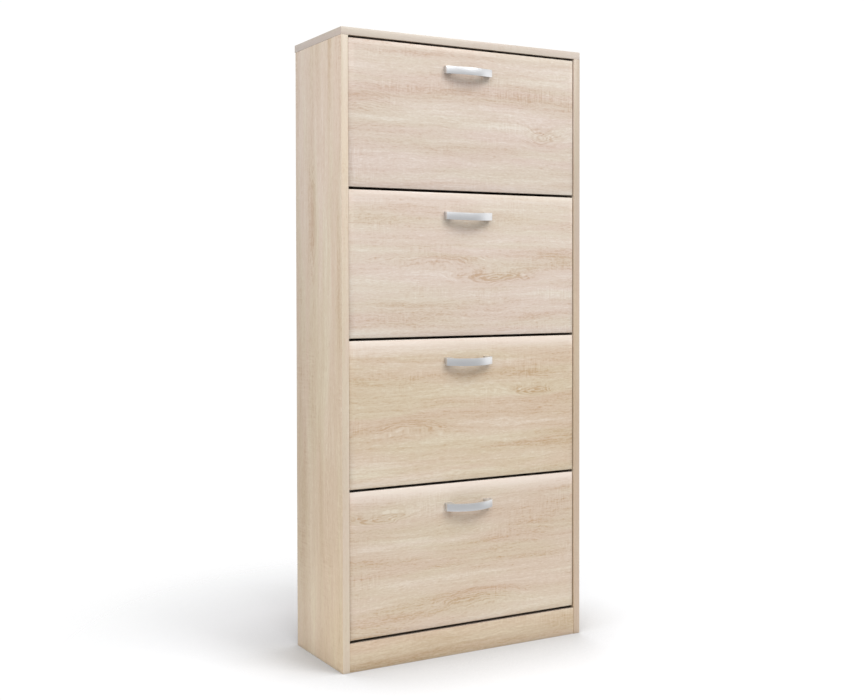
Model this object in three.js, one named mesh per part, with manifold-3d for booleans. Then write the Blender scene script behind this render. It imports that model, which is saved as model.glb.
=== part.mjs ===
// A tall, narrow shoe cabinet with four tip-out flaps.
// A carcass of 16 mm board stands on its side panels. Each flap turns on two plastic brackets, whose pins sit in
// bushes let into the sides, and it carries a shoe holder with a front row and a raised rear row.
// Millimetres. X to the right, Y to the back, Z up. The origin is at floor level, in the middle of the whole box,
// handles included. Inside a flap's group the origin is on the pivot line.

import * as THREE from 'three';
import { mergeVertices } from 'three/addons/utils/BufferGeometryUtils.js';
import Module from 'manifold-3d';

// ---- Driving dimensions -------------------------------------------------------------------------------------

// carcass
const WIDTH = 600;
const DEPTH = 240;
const HEIGHT = 1330;
const BOARD = 16;
const BACK_SHEET = 3;
const BACK_INSET = 1;
const BACK_SIDE_MARGIN = 2;
const BACK_EDGE_MARGIN = 3;
const BACK_SPLIT_HEIGHT = 506;
const PLINTH_HEIGHT = 60;
const PLINTH_SETBACK = 1;
const RAIL_HEIGHT = 60;
const WALL_RAIL_HEIGHT = 80;

// joining strip of the two back sheets
const STRIP_WEB = 2;
const STRIP_HEIGHT = 14;
const STRIP_LEAF = 1;
const STRIP_FIT = 0.2;
const STRIP_END_MARGIN = 1;

// flap fronts
const FLAP_COUNT = 4;
const FLAP_HEIGHT = 307.7;
const FLAP_GAP = 5.3;
const PLINTH_GAP = 5.4;
const TOP_GAP = 4;
const SIDE_GAP = 1.5;
const FLAP_SLOPE_WIDTH = 14;
const FLAP_SLOPE_TILT = THREE.MathUtils.degToRad(30);
const FLAP_EDGE_RADIUS = 1.5;
const SLOPE_STEPS = 4;
const EDGE_STEPS = 2;

// pivot of a flap, from its front face and from its lower edge
const PIVOT_DEPTH = 24;
const PIVOT_RISE = 55;
const OPEN_ANGLE = THREE.MathUtils.degToRad(48);

// bow handle
const HANDLE_LENGTH = 115;
const HANDLE_WIDTH = 16;
const HANDLE_REACH = 25;
const HANDLE_END_REACH = 10;
const HANDLE_THICKNESS = 4;
const HANDLE_FOOT_LENGTH = 17;
const HANDLE_EDGE = 1;
const HANDLE_DROP = 48;
const HANDLE_LEAN = 0.12;
const HOLE_SPACING = 96;

// handle screw
const SCREW_RADIUS = 2;
const SCREW_HEAD_RADIUS = 4.5;
const SCREW_HEAD_HEIGHT = 2.6;
const SCREW_BITE = 8;

// bearing fitting in the side panel
const BEARING_PLATE = 2;
const BEARING_HALF_WIDTH = 7;
const BOSS_RADIUS = 5.5;
const BOSS_LENGTH = 12;
const BORE_RADIUS = 4.1;
const STOP_RADIUS = 34;
const STOP_PEG_RADIUS = 3;
const STOP_PEG_LENGTH = 4.5;

// side bracket of a flap
const BRACKET_PLATE = 4;
const BRACKET_TO_BEARING = 1;
const PIN_RADIUS = 4;
const PIN_LENGTH = 12;
const SLOT_CLEARANCE = 0.3;
const SLOT_OVERRUN = THREE.MathUtils.degToRad(0.5);
const RIB = 3;
const RIB_DEPTH = 6;
const FLANGE_WIDTH = 18;
const BRACKET_FRONT_TOP = 205;
const BRACKET_MIDDLE_TOP = 186;

// shoe holder boards
const HOLDER_BOARD = 10;
const SHELF_HEIGHT = -38;
const DIVIDER_DEPTH = 88;
const DIVIDER_TOP = 150;
const REAR_SHELF_HEIGHT = 6;
const REAR_WALL_DEPTH = 178;
const REAR_WALL_TOP = 165;

// free space between pieces that are screwed or pushed together
const FIT = 0.3;
// how far tools and joined solids run past each other, so that no two faces of a cut or join coincide
const OVERRUN = 1;
const ROUND_SEGMENTS = 24;
const SCREW_SEGMENTS = 12;

// ---- Derived places -----------------------------------------------------------------------------------------

const FRONT_Y = HANDLE_REACH - (DEPTH + HANDLE_REACH) / 2;
const SIDE_DEPTH = DEPTH - BACK_INSET - BACK_SHEET;
const SIDE_HEIGHT = HEIGHT - BOARD;
const INNER_HALF = WIDTH / 2 - BOARD;
const FLAP_WIDTH = 2 * (INNER_HALF - SIDE_GAP);
const FLAP_PITCH = FLAP_HEIGHT + FLAP_GAP;
const FIRST_FLAP_Z = PLINTH_HEIGHT + PLINTH_GAP;
const TOP_FLAP_HEIGHT = SIDE_HEIGHT - TOP_GAP - FIRST_FLAP_Z - (FLAP_COUNT - 1) * FLAP_PITCH;
const FLAP_BACK = BOARD - PIVOT_DEPTH;
const BRACKET_OUTER = INNER_HALF - BEARING_PLATE - BRACKET_TO_BEARING;
const BRACKET_INNER = BRACKET_OUTER - BRACKET_PLATE;
const HOLDER_HALF = BRACKET_INNER - FIT;
const REAR_RIB_BACK = REAR_WALL_DEPTH + HOLDER_BOARD + FIT + RIB;

const wasm = await Module();
wasm.setup();

// ---- Finishes -----------------------------------------------------------------------------------------------

const OAK = { color: 0xdac7b1, roughness: 0.55, metalness: 0 };
const BACK_WHITE = { color: 0xe6e1d8, roughness: 0.7, metalness: 0 };
const STRIP_WHITE = { color: 0xf0eee9, roughness: 0.45, metalness: 0 };
const SATIN_SILVER = { color: 0xc3c7cc, roughness: 0.32, metalness: 1 };
const ZINC = { color: 0xb8bbbe, roughness: 0.38, metalness: 1 };
const FITTING_PLASTIC = { color: 0xd9d9d6, roughness: 0.5, metalness: 0 };
const HOLDER_OAK = { color: 0xd6c3ab, roughness: 0.6, metalness: 0 };

// ---- Small tools --------------------------------------------------------------------------------------------

// One named sub-part with a finish of its own.
function piece(name, geometry, finish) {
  const mesh = new THREE.Mesh(geometry, new THREE.MeshStandardMaterial(finish));
  mesh.name = name;
  return mesh;
}

// A box between two corners.
function block(x0, x1, y0, y1, z0, z1) {
  const geometry = new THREE.BoxGeometry(x1 - x0, y1 - y0, z1 - z0);
  geometry.translate((x0 + x1) / 2, (y0 + y1) / 2, (z0 + z1) / 2);
  return geometry;
}

// A block on one side of the cabinet: inner and outer are distances from the middle plane.
function sideBlock(side, inner, outer, y0, y1, z0, z1) {
  const x0 = Math.min(side * inner, side * outer);
  const x1 = Math.max(side * inner, side * outer);
  return block(x0, x1, y0, y1, z0, z1);
}

// An outline drawn in Y and Z, made as thick as the stretch from inner to outer on one side of the cabinet.
function sidePlate(side, inner, outer, outline) {
  const geometry = new THREE.ExtrudeGeometry(outline, {
    depth: outer - inner,
    bevelEnabled: false,
    curveSegments: 4,
  });
  const outlineToSide = new THREE.Matrix4().makeBasis(
    new THREE.Vector3(0, 1, 0),
    new THREE.Vector3(0, 0, 1),
    new THREE.Vector3(1, 0, 0),
  );
  geometry.applyMatrix4(outlineToSide);
  geometry.translate(side > 0 ? inner : -outer, 0, 0);
  return geometry;
}

// A round bar along X on one side of the cabinet.
function sideBar(side, inner, outer, radius, y, z, segments) {
  const geometry = new THREE.CylinderGeometry(radius, radius, outer - inner, segments);
  geometry.rotateZ(Math.PI / 2);
  geometry.translate((side * (inner + outer)) / 2, y, z);
  return geometry;
}

// A round bar along Y.
function depthBar(radius, y0, y1, x, z, segments) {
  const geometry = new THREE.CylinderGeometry(radius, radius, y1 - y0, segments);
  geometry.translate(x, (y0 + y1) / 2, z);
  return geometry;
}

function toSolid(geometry) {
  const plain = geometry.clone();
  plain.deleteAttribute('normal');
  plain.deleteAttribute('uv');
  const merged = mergeVertices(plain, 1e-4);
  const mesh = new wasm.Mesh({
    numProp: 3,
    vertProperties: new Float32Array(merged.attributes.position.array),
    triVerts: new Uint32Array(merged.index.array),
  });
  return new wasm.Manifold(mesh);
}

function toGeometry(solid) {
  const mesh = solid.getMesh();
  const geometry = new THREE.BufferGeometry();
  geometry.setAttribute('position', new THREE.BufferAttribute(new Float32Array(mesh.vertProperties), 3));
  geometry.setIndex(new THREE.BufferAttribute(new Uint32Array(mesh.triVerts), 1));
  geometry.computeVertexNormals();
  return geometry;
}

// The first shape joined with every added one, less every removed one.
function carve(base, added, removed) {
  let solid = toSolid(base);
  for (const shape of added) {
    solid = solid.add(toSolid(shape));
  }
  for (const shape of removed) {
    solid = solid.subtract(toSolid(shape));
  }
  return toGeometry(solid);
}

// ---- Carcass ------------------------------------------------------------------------------------------------

// Height of the lower edge of a flap above the floor; flap 1 is the top one.
function flapBottom(number) {
  return FIRST_FLAP_Z + (FLAP_COUNT - number) * FLAP_PITCH;
}

function pivotHeight(number) {
  return flapBottom(number) + PIVOT_RISE;
}

function flapNumbers() {
  return Array.from({ length: FLAP_COUNT }, (_, index) => index + 1);
}

// A side panel with one blind hole for each bearing boss.
function sidePanel(side) {
  const board = sideBlock(side, INNER_HALF, WIDTH / 2, FRONT_Y, FRONT_Y + SIDE_DEPTH, 0, SIDE_HEIGHT);
  const holes = flapNumbers().map((number) => sideBar(
    side,
    INNER_HALF - OVERRUN,
    INNER_HALF + BOSS_LENGTH + FIT,
    BOSS_RADIUS + FIT,
    FRONT_Y + PIVOT_DEPTH,
    pivotHeight(number),
    ROUND_SEGMENTS,
  ));
  return carve(board, [], holes);
}

function topPanel() {
  return block(-WIDTH / 2, WIDTH / 2, FRONT_Y, FRONT_Y + DEPTH, SIDE_HEIGHT, HEIGHT);
}

function plinth() {
  const front = FRONT_Y + PLINTH_SETBACK;
  return block(-INNER_HALF, INNER_HALF, front, front + BOARD, 0, PLINTH_HEIGHT);
}

function bottomPanel() {
  const front = FRONT_Y + PLINTH_SETBACK + BOARD;
  return block(-INNER_HALF, INNER_HALF, front, FRONT_Y + SIDE_DEPTH, PLINTH_HEIGHT - BOARD, PLINTH_HEIGHT);
}

// An upright board across the back of the carcass.
function backRail(bottom, top) {
  const back = FRONT_Y + SIDE_DEPTH;
  return block(-INNER_HALF, INNER_HALF, back - BOARD, back, bottom, top);
}

// Middle of the gap under a flap.
function borderHeight(number) {
  return flapBottom(number) - FLAP_GAP / 2;
}

function backSheet(bottom, top) {
  const half = WIDTH / 2 - BACK_SIDE_MARGIN;
  const front = FRONT_Y + SIDE_DEPTH;
  return block(-half, half, front, front + BACK_SHEET, bottom, top);
}

// A strip of H section: its web lies between the sheets, its leaves cover their edges inside and outside.
function joiningStrip() {
  const half = INNER_HALF - STRIP_END_MARGIN;
  const front = FRONT_Y + SIDE_DEPTH;
  const back = front + BACK_SHEET;
  const halfWeb = STRIP_WEB / 2 - STRIP_FIT;
  const middle = BACK_SPLIT_HEIGHT;
  const web = block(-half, half, front - STRIP_LEAF, back + STRIP_LEAF / 2, middle - halfWeb, middle + halfWeb);
  const low = middle - STRIP_HEIGHT / 2;
  const high = middle + STRIP_HEIGHT / 2;
  const innerLeaf = block(-half, half, front - STRIP_FIT - STRIP_LEAF, front - STRIP_FIT, low, high);
  const outerLeaf = block(-half, half, back + STRIP_FIT, back + STRIP_LEAF, low, high);
  return carve(web, [innerLeaf, outerLeaf], []);
}

function carcassPieces() {
  const pieces = [
    piece('side_panel_left', sidePanel(-1), OAK),
    piece('side_panel_right', sidePanel(1), OAK),
    piece('top_panel', topPanel(), OAK),
    piece('bottom_panel', bottomPanel(), OAK),
    piece('plinth', plinth(), OAK),
    piece('wall_rail', backRail(SIDE_HEIGHT - WALL_RAIL_HEIGHT, SIDE_HEIGHT), OAK),
    piece('back_joining_strip', joiningStrip(), STRIP_WHITE),
  ];
  const sheetTop = SIDE_HEIGHT - BACK_EDGE_MARGIN;
  const splitLow = BACK_SPLIT_HEIGHT - STRIP_WEB / 2;
  const splitHigh = BACK_SPLIT_HEIGHT + STRIP_WEB / 2;
  pieces.push(piece('back_sheet_lower', backSheet(BACK_EDGE_MARGIN, splitLow), BACK_WHITE));
  pieces.push(piece('back_sheet_upper', backSheet(splitHigh, sheetTop), BACK_WHITE));
  for (const number of flapNumbers().slice(0, -1)) {
    const middle = borderHeight(number);
    const rail = backRail(middle - RAIL_HEIGHT / 2, middle + RAIL_HEIGHT / 2);
    pieces.push(piece(`cross_rail_${number}`, rail, OAK));
  }
  return pieces;
}

// ---- Bearing fittings ---------------------------------------------------------------------------------------

// A long plate with round ends, from the pivot up to the stop peg.
function bearingOutline() {
  const outline = new THREE.Shape();
  outline.absarc(0, 0, BEARING_HALF_WIDTH, Math.PI, 2 * Math.PI, false);
  outline.absarc(0, STOP_RADIUS, BEARING_HALF_WIDTH, 0, Math.PI, false);
  return outline;
}

function bearing(side) {
  const face = INNER_HALF - BEARING_PLATE;
  const bossEnd = INNER_HALF + BOSS_LENGTH;
  const plate = sidePlate(side, face, INNER_HALF, bearingOutline());
  const boss = sideBar(side, face + OVERRUN, bossEnd, BOSS_RADIUS, 0, 0, ROUND_SEGMENTS);
  const pegStart = face - STOP_PEG_LENGTH;
  const peg = sideBar(side, pegStart, face + OVERRUN, STOP_PEG_RADIUS, 0, STOP_RADIUS, SCREW_SEGMENTS);
  const bore = sideBar(side, face - OVERRUN, bossEnd + OVERRUN, BORE_RADIUS, 0, 0, ROUND_SEGMENTS);
  return carve(plate, [boss, peg], [bore]);
}

// ---- Flap front and handle ----------------------------------------------------------------------------------

function screwPlaces() {
  return [['left', -HOLE_SPACING / 2], ['right', HOLE_SPACING / 2]];
}

// The edge of a flap from the face outwards: a long soft slope, then a small round to the side. Each ring has its
// distance inside the outline and its depth behind the face.
function edgeRings() {
  const slopeEnd = FLAP_EDGE_RADIUS * (1 - Math.sin(FLAP_SLOPE_TILT));
  const slopeRadius = (FLAP_SLOPE_WIDTH - slopeEnd) / Math.sin(FLAP_SLOPE_TILT);
  const slopeDepth = slopeRadius * (1 - Math.cos(FLAP_SLOPE_TILT));
  const rings = [];
  for (let step = 0; step < SLOPE_STEPS; step += 1) {
    const angle = (FLAP_SLOPE_TILT * step) / SLOPE_STEPS;
    rings.push([FLAP_SLOPE_WIDTH - slopeRadius * Math.sin(angle), slopeRadius * (1 - Math.cos(angle))]);
  }
  for (let step = 0; step <= EDGE_STEPS; step += 1) {
    const angle = FLAP_SLOPE_TILT + ((Math.PI / 2 - FLAP_SLOPE_TILT) * step) / EDGE_STEPS;
    const fall = FLAP_EDGE_RADIUS * (Math.cos(FLAP_SLOPE_TILT) - Math.cos(angle));
    rings.push([FLAP_EDGE_RADIUS * (1 - Math.sin(angle)), slopeDepth + fall]);
  }
  rings.push([0, BOARD]);
  return rings;
}

// A board whose face falls away softly all round, with holes for the handle screws.
function flapFront(height) {
  const corners = [];
  for (const [inset, depth] of edgeRings()) {
    const x = FLAP_WIDTH / 2 - inset;
    const y = depth - PIVOT_DEPTH;
    const low = inset - PIVOT_RISE;
    const high = height - PIVOT_RISE - inset;
    corners.push([-x, y, low], [x, y, low], [x, y, high], [-x, y, high]);
  }
  const slab = toGeometry(wasm.Manifold.hull(corners));
  const holes = screwPlaces().map(([, x]) => depthBar(
    SCREW_RADIUS + FIT,
    -PIVOT_DEPTH - OVERRUN,
    FLAP_BACK + 2 * OVERRUN,
    x,
    handleHeight(height),
    SCREW_SEGMENTS,
  ));
  return carve(slab, [], holes);
}

function handleHeight(height) {
  return height - PIVOT_RISE - HANDLE_DROP;
}

// Radius of an arc from its half chord and its rise.
function arcRadius(halfChord, rise) {
  return (halfChord * halfChord + rise * rise) / (2 * rise);
}

// The bow in plan: two feet on the flap, an outer arc, and an inner arc one thickness behind it. The strap leans
// down a little as it leaves the flap.
function handleOutline() {
  const half = HANDLE_LENGTH / 2 - HANDLE_EDGE;
  const innerHalf = HANDLE_LENGTH / 2 - HANDLE_FOOT_LENGTH + HANDLE_EDGE;
  const reach = HANDLE_REACH - HANDLE_EDGE;
  const outer = arcRadius(half, HANDLE_REACH - HANDLE_END_REACH);
  const centre = reach - outer;
  const inner = outer - HANDLE_THICKNESS + 2 * HANDLE_EDGE;
  const outerAngle = Math.asin(half / outer);
  const innerAngle = Math.asin(innerHalf / inner);
  const base = FIT + HANDLE_EDGE;
  const outline = new THREE.Shape();
  outline.moveTo(-half, base);
  outline.absarc(0, centre, outer, Math.PI / 2 + outerAngle, Math.PI / 2 - outerAngle, true);
  outline.lineTo(half, base);
  outline.lineTo(innerHalf, base);
  outline.absarc(0, centre, inner, Math.PI / 2 - innerAngle, Math.PI / 2 + innerAngle, false);
  outline.lineTo(-innerHalf, base);
  return outline;
}

function handle(height) {
  const bow = new THREE.ExtrudeGeometry(handleOutline(), {
    depth: HANDLE_WIDTH - 2 * HANDLE_EDGE,
    bevelEnabled: true,
    bevelThickness: HANDLE_EDGE,
    bevelSize: HANDLE_EDGE,
    bevelSegments: 2,
    curveSegments: 5,
  });
  bow.translate(0, 0, HANDLE_EDGE - HANDLE_WIDTH / 2);
  bow.rotateZ(Math.PI);
  bow.applyMatrix4(new THREE.Matrix4().makeShear(0, 0, 0, HANDLE_LEAN, 0, 0));
  bow.translate(0, -PIVOT_DEPTH, handleHeight(height));
  const holes = screwPlaces().map(([, x]) => depthBar(
    SCREW_RADIUS + FIT,
    -PIVOT_DEPTH - SCREW_BITE - OVERRUN,
    -PIVOT_DEPTH + OVERRUN,
    x,
    handleHeight(height),
    SCREW_SEGMENTS,
  ));
  return carve(bow, [], holes);
}

// A screw from inside the flap: its head rests on the flap's back, and its shank ends in the handle's foot.
function handleScrew(height, x) {
  const headBack = FLAP_BACK + FIT;
  const headRim = headBack + SCREW_HEAD_HEIGHT / 2;
  const headTop = headBack + SCREW_HEAD_HEIGHT;
  const tip = -PIVOT_DEPTH - SCREW_BITE;
  const profile = [
    new THREE.Vector2(0, tip),
    new THREE.Vector2(SCREW_RADIUS, tip),
    new THREE.Vector2(SCREW_RADIUS, headBack),
    new THREE.Vector2(SCREW_HEAD_RADIUS, headBack),
    new THREE.Vector2(SCREW_HEAD_RADIUS, headRim),
    new THREE.Vector2(SCREW_HEAD_RADIUS * 0.7, headTop),
    new THREE.Vector2(0, headTop),
  ];
  const geometry = new THREE.LatheGeometry(profile, SCREW_SEGMENTS);
  geometry.translate(x, 0, handleHeight(height));
  return geometry;
}

// ---- Side brackets ------------------------------------------------------------------------------------------

// A curved slot about the pivot, in which the stop peg ends the swing both ways.
function stopSlot() {
  const halfWidth = STOP_PEG_RADIUS + SLOT_CLEARANCE;
  const start = Math.PI / 2 + SLOT_OVERRUN;
  const end = Math.PI / 2 - OPEN_ANGLE - SLOT_OVERRUN;
  const slot = new THREE.Path();
  const startY = STOP_RADIUS * Math.cos(start);
  const startZ = STOP_RADIUS * Math.sin(start);
  const endY = STOP_RADIUS * Math.cos(end);
  const endZ = STOP_RADIUS * Math.sin(end);
  slot.absarc(0, 0, STOP_RADIUS + halfWidth, end, start, false);
  slot.absarc(startY, startZ, halfWidth, start, start + Math.PI, false);
  slot.absarc(0, 0, STOP_RADIUS - halfWidth, start, end, true);
  slot.absarc(endY, endZ, halfWidth, end + Math.PI, end + 2 * Math.PI, false);
  return slot;
}

// The cheek of the shoe holder, seen from the side.
function bracketOutline() {
  const front = FLAP_BACK + FIT;
  const bottom = SHELF_HEIGHT - FIT - RIB;
  const stepDepth = DIVIDER_DEPTH + HOLDER_BOARD + FIT + RIB;
  const rearBottom = REAR_SHELF_HEIGHT - FIT - RIB;
  const outline = new THREE.Shape();
  outline.moveTo(front, bottom);
  outline.lineTo(stepDepth, bottom);
  outline.lineTo(REAR_RIB_BACK, rearBottom);
  outline.lineTo(REAR_RIB_BACK, REAR_WALL_TOP);
  outline.lineTo(stepDepth, BRACKET_MIDDLE_TOP);
  outline.lineTo(front, BRACKET_FRONT_TOP);
  outline.closePath();
  outline.holes.push(stopSlot());
  return outline;
}

// Ribs that stand in from the cheek on both faces of each board end, as [y0, y1, z0, z1].
function channelRibs() {
  const front = FLAP_BACK + FIT;
  const shelfUnder = SHELF_HEIGHT - FIT;
  const shelfOver = SHELF_HEIGHT + HOLDER_BOARD + FIT;
  const dividerFront = DIVIDER_DEPTH - FIT;
  const dividerBack = DIVIDER_DEPTH + HOLDER_BOARD + FIT;
  const rearUnder = REAR_SHELF_HEIGHT - FIT;
  const rearOver = REAR_SHELF_HEIGHT + HOLDER_BOARD + FIT;
  const wallFront = REAR_WALL_DEPTH - FIT;
  const wallBack = REAR_WALL_DEPTH + HOLDER_BOARD + FIT;
  return [
    [front, dividerBack, shelfUnder - RIB, shelfUnder],
    [front, dividerFront, shelfOver, shelfOver + RIB],
    [dividerFront - RIB, dividerFront, shelfOver, DIVIDER_TOP],
    [dividerBack, dividerBack + RIB, shelfUnder - RIB, rearUnder],
    [dividerBack, dividerBack + RIB, rearOver, DIVIDER_TOP],
    [dividerBack, wallBack, rearUnder - RIB, rearUnder],
    [dividerBack, wallFront, rearOver, rearOver + RIB],
    [wallFront - RIB, wallFront, rearOver, REAR_WALL_TOP],
    [wallBack, wallBack + RIB, rearUnder - RIB, REAR_WALL_TOP],
  ];
}

// A cheek with board channels, a flange on the flap's back, a stop slot and the pivot pin.
function sideBracket(side) {
  const cheek = sidePlate(side, BRACKET_INNER, BRACKET_OUTER, bracketOutline());
  const ribEnd = BRACKET_INNER + OVERRUN;
  const ribs = channelRibs().map(([y0, y1, z0, z1]) => sideBlock(
    side,
    BRACKET_INNER - RIB_DEPTH,
    ribEnd,
    y0,
    y1,
    z0,
    z1,
  ));
  const front = FLAP_BACK + FIT;
  const flange = sideBlock(
    side,
    BRACKET_INNER - FLANGE_WIDTH,
    ribEnd,
    front,
    front + RIB,
    SHELF_HEIGHT + HOLDER_BOARD + FIT,
    BRACKET_FRONT_TOP,
  );
  const pinEnd = BRACKET_OUTER + PIN_LENGTH;
  const pin = sideBar(side, BRACKET_OUTER - OVERRUN, pinEnd, PIN_RADIUS, 0, 0, ROUND_SEGMENTS);
  return carve(cheek, [...ribs, flange, pin], []);
}

// ---- Shoe holder boards -------------------------------------------------------------------------------------

function frontShelf() {
  return block(
    -HOLDER_HALF,
    HOLDER_HALF,
    FLAP_BACK + FIT,
    DIVIDER_DEPTH - FIT,
    SHELF_HEIGHT,
    SHELF_HEIGHT + HOLDER_BOARD,
  );
}

function divider() {
  return block(
    -HOLDER_HALF,
    HOLDER_HALF,
    DIVIDER_DEPTH,
    DIVIDER_DEPTH + HOLDER_BOARD,
    SHELF_HEIGHT,
    DIVIDER_TOP,
  );
}

function rearShelf() {
  return block(
    -HOLDER_HALF,
    HOLDER_HALF,
    DIVIDER_DEPTH + HOLDER_BOARD + FIT,
    REAR_WALL_DEPTH - FIT,
    REAR_SHELF_HEIGHT,
    REAR_SHELF_HEIGHT + HOLDER_BOARD,
  );
}

function rearWall() {
  return block(
    -HOLDER_HALF,
    HOLDER_HALF,
    REAR_WALL_DEPTH,
    REAR_WALL_DEPTH + HOLDER_BOARD,
    REAR_SHELF_HEIGHT,
    REAR_WALL_TOP,
  );
}

// ---- Assembly -----------------------------------------------------------------------------------------------

function flapPieces(number) {
  const height = number === 1 ? TOP_FLAP_HEIGHT : FLAP_HEIGHT;
  const name = `flap_${number}`;
  const pieces = [
    piece(`${name}_front`, flapFront(height), OAK),
    piece(`${name}_handle`, handle(height), SATIN_SILVER),
    piece(`${name}_bracket_left`, sideBracket(-1), FITTING_PLASTIC),
    piece(`${name}_bracket_right`, sideBracket(1), FITTING_PLASTIC),
    piece(`${name}_front_shelf`, frontShelf(), HOLDER_OAK),
    piece(`${name}_rear_shelf`, rearShelf(), HOLDER_OAK),
    piece(`${name}_divider`, divider(), HOLDER_OAK),
    piece(`${name}_rear_wall`, rearWall(), HOLDER_OAK),
  ];
  for (const [place, x] of screwPlaces()) {
    pieces.push(piece(`${name}_handle_screw_${place}`, handleScrew(height, x), ZINC));
  }
  return pieces;
}

function bearingPieces(number) {
  return [
    piece(`bearing_${number}_left`, bearing(-1), FITTING_PLASTIC),
    piece(`bearing_${number}_right`, bearing(1), FITTING_PLASTIC),
  ];
}

function shoeCabinet() {
  const cabinet = new THREE.Group();
  cabinet.add(...carcassPieces());
  for (const number of flapNumbers()) {
    const onPivot = new THREE.Group();
    onPivot.position.set(0, FRONT_Y + PIVOT_DEPTH, pivotHeight(number));
    onPivot.add(...flapPieces(number), ...bearingPieces(number));
    cabinet.add(onPivot);
  }
  return cabinet;
}

const group = shoeCabinet();
export default group;
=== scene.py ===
"""A tall, narrow shoe cabinet in light oak, with four tip-out flaps and satin silver bow handles.

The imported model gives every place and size. This script builds the finished boards, flap fronts,
handles and fittings over it, dresses them with layered procedural finishes, and sets up a plain studio
around them. Everything is in metres, with X to the right, Y to the back and Z up.
"""

import logging
import math
from dataclasses import asdict, dataclass, field, replace
from enum import Enum
from functools import lru_cache
from typing import Callable, Iterable, Optional, Sequence, Union

import bmesh
import bpy
from mathutils import Matrix, Vector


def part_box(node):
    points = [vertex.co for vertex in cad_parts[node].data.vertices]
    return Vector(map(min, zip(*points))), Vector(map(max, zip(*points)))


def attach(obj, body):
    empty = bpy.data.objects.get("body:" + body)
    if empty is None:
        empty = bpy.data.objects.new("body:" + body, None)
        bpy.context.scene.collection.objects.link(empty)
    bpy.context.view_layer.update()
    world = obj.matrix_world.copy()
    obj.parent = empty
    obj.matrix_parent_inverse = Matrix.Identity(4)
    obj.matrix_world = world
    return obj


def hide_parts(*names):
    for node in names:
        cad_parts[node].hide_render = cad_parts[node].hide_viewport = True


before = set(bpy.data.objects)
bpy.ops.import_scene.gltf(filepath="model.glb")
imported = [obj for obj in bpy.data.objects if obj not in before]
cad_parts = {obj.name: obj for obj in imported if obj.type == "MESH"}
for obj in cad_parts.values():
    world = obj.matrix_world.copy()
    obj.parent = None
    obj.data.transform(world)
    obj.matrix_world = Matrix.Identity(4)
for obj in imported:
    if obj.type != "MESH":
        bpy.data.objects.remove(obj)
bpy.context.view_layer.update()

LOG = logging.getLogger("shoe_cabinet")
MM = 0.001
TOUCH = 0.01 * MM
MERGE_REACH = 0.005 * MM
FLAT_ANGLE = math.radians(1.0)
SHARP_ANGLE = math.radians(35.0)
SMOOTH_ANGLE = math.radians(40.0)

BMesh = bmesh.types.BMesh
Node = bpy.types.Node
NodeTree = bpy.types.NodeTree
SceneObject = bpy.types.Object
Socket = bpy.types.NodeSocket
Value = Union[Socket, float, Sequence[float]]
Colour = tuple[float, float, float]
Span = tuple[float, float]


# ---- Named choices ----------------------------------------


class Axis(Enum):
    """A direction of the cabinet's frame."""

    X = 0
    Y = 1
    Z = 2


class Edge(Enum):
    """An outer side of a board, as its axis and its sign."""

    LEFT = (Axis.X, -1)
    RIGHT = (Axis.X, 1)
    FRONT = (Axis.Y, -1)
    BACK = (Axis.Y, 1)
    BOTTOM = (Axis.Z, -1)
    TOP = (Axis.Z, 1)


class Side(Enum):
    """The left or the right half of the cabinet, with the sign of its X."""

    LEFT = -1
    RIGHT = 1

    @property
    def word(self) -> str:
        """The side's word in the names of pieces."""
        return self.name.lower()


# ---- Shader nodes ----------------------------------------


def linear(code: str) -> Colour:
    """Turns six hexadecimal digits of display colour into linear red, green and blue."""
    channels = [int(code[place : place + 2], 16) / 255 for place in (0, 2, 4)]
    return tuple(c / 12.92 if c <= 0.04045 else ((c + 0.055) / 1.055) ** 2.4 for c in channels)


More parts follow.
